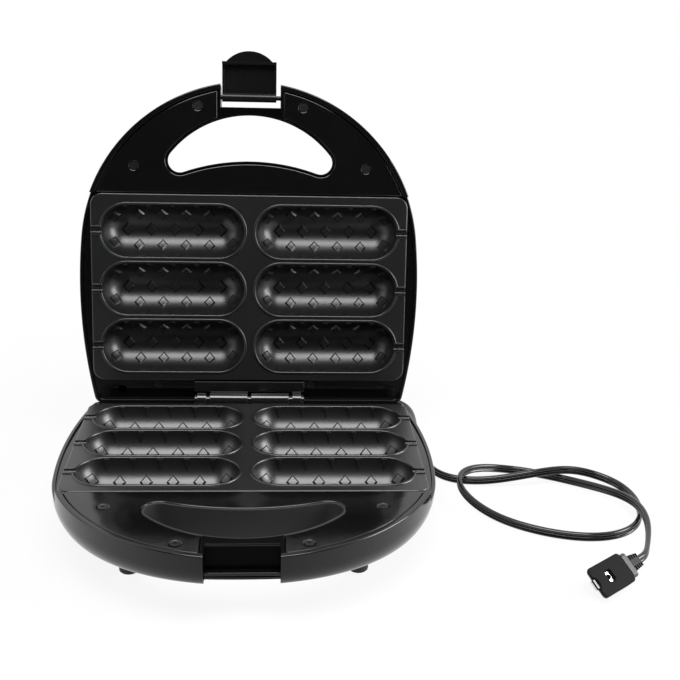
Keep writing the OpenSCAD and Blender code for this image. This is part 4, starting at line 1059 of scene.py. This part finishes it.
def make_floor():
    """A pale floor that goes over into a plain white ground, and keeps a soft shadow near the object."""
    material = bpy.data.materials.new("pale_floor")
    material.use_nodes = True
    tree = material.node_tree
    shader = tree.nodes["Principled BSDF"]
    shader.inputs["Base Color"].default_value = (FLOOR_GREY, FLOOR_GREY, FLOOR_GREY, 1)
    shader.inputs["Roughness"].default_value = FLOOR_ROUGHNESS
    shader.inputs["Specular IOR Level"].default_value = FLOOR_SPECULAR
    white = add(tree, "ShaderNodeEmission")
    place = add(tree, "ShaderNodeTexCoord")
    reach = add(tree, "ShaderNodeVectorMath", operation="LENGTH")
    tree.links.new(place.outputs["Object"], reach.inputs[0])
    share = math_node(tree, "MULTIPLY", fade(tree, reach.outputs["Value"], *FLOOR_WHITE), sight_mask(tree))
    parts = add(tree, "ShaderNodeSeparateXYZ")
    tree.links.new(place.outputs["Object"], parts.inputs[0])
    path = add(tree, "ShaderNodeLightPath")
    front = fade(tree, beside_front(tree, parts, FLOOR_ASIDE), *FLOOR_FRONT)
    tree.links.new(math_node(tree, "MAXIMUM", front, path.outputs["Is Camera Ray"]), white.inputs["Strength"])
    mix_shaders(tree, share, shader.outputs[0], white.outputs[0], "Material Output")
    corners = at_height(rectangle(-FLOOR_HALF, -FLOOR_HALF, FLOOR_HALF, FLOOR_HALF), 0)
    mesh = bpy.data.meshes.new("floor")
    mesh.from_pydata(corners.tolist(), [], [(0, 1, 2, 3)])
    mesh.materials.append(material)
    floor = bpy.data.objects.new("floor", mesh)
    bpy.context.scene.collection.objects.link(floor)


def make_lamp(name, place, target, size, power):
    """A rectangular softbox that faces a target."""
    lamp = bpy.data.lights.new(name, "AREA")
    lamp.shape = "RECTANGLE"
    lamp.size, lamp.size_y = size
    lamp.energy = power
    thing = bpy.data.objects.new(name, lamp)
    thing.location = place
    thing.rotation_euler = (Vector(target) - Vector(place)).to_track_quat("-Z", "Y").to_euler()
    bpy.context.scene.collection.objects.link(thing)


def make_light():
    """Softboxes, a dim white world for the light, and for the eye a white one that is dark straight in front."""
    for lamp in LAMPS:
        make_lamp(*lamp)
    world = bpy.data.worlds.new("studio")
    bpy.context.scene.world = world
    world.use_nodes = True
    tree = world.node_tree
    soft = tree.nodes["Background"]
    soft.inputs["Color"].default_value = (1, 1, 1, 1)
    soft.inputs["Strength"].default_value = AMBIENT
    seen = add(tree, "ShaderNodeBackground")
    seen.inputs["Color"].default_value = (1, 1, 1, 1)
    place = add(tree, "ShaderNodeTexCoord")
    parts = add(tree, "ShaderNodeSeparateXYZ")
    tree.links.new(place.outputs["Generated"], parts.inputs[0])
    level = fade(tree, beside_front(tree, parts, WORLD_ASIDE), *WORLD_FRONT)
    path = add(tree, "ShaderNodeLightPath")
    tree.links.new(math_node(tree, "MAXIMUM", level, path.outputs["Is Camera Ray"]), seen.inputs["Strength"])
    mix_shaders(tree, sight_mask(tree), soft.outputs[0], seen.outputs[0], "World Output")


bpy.context.scene.view_settings.view_transform = "Standard"
make_camera()
make_cord()
dress_nodes()
make_shells()
make_griddles()
make_floor()
make_light()
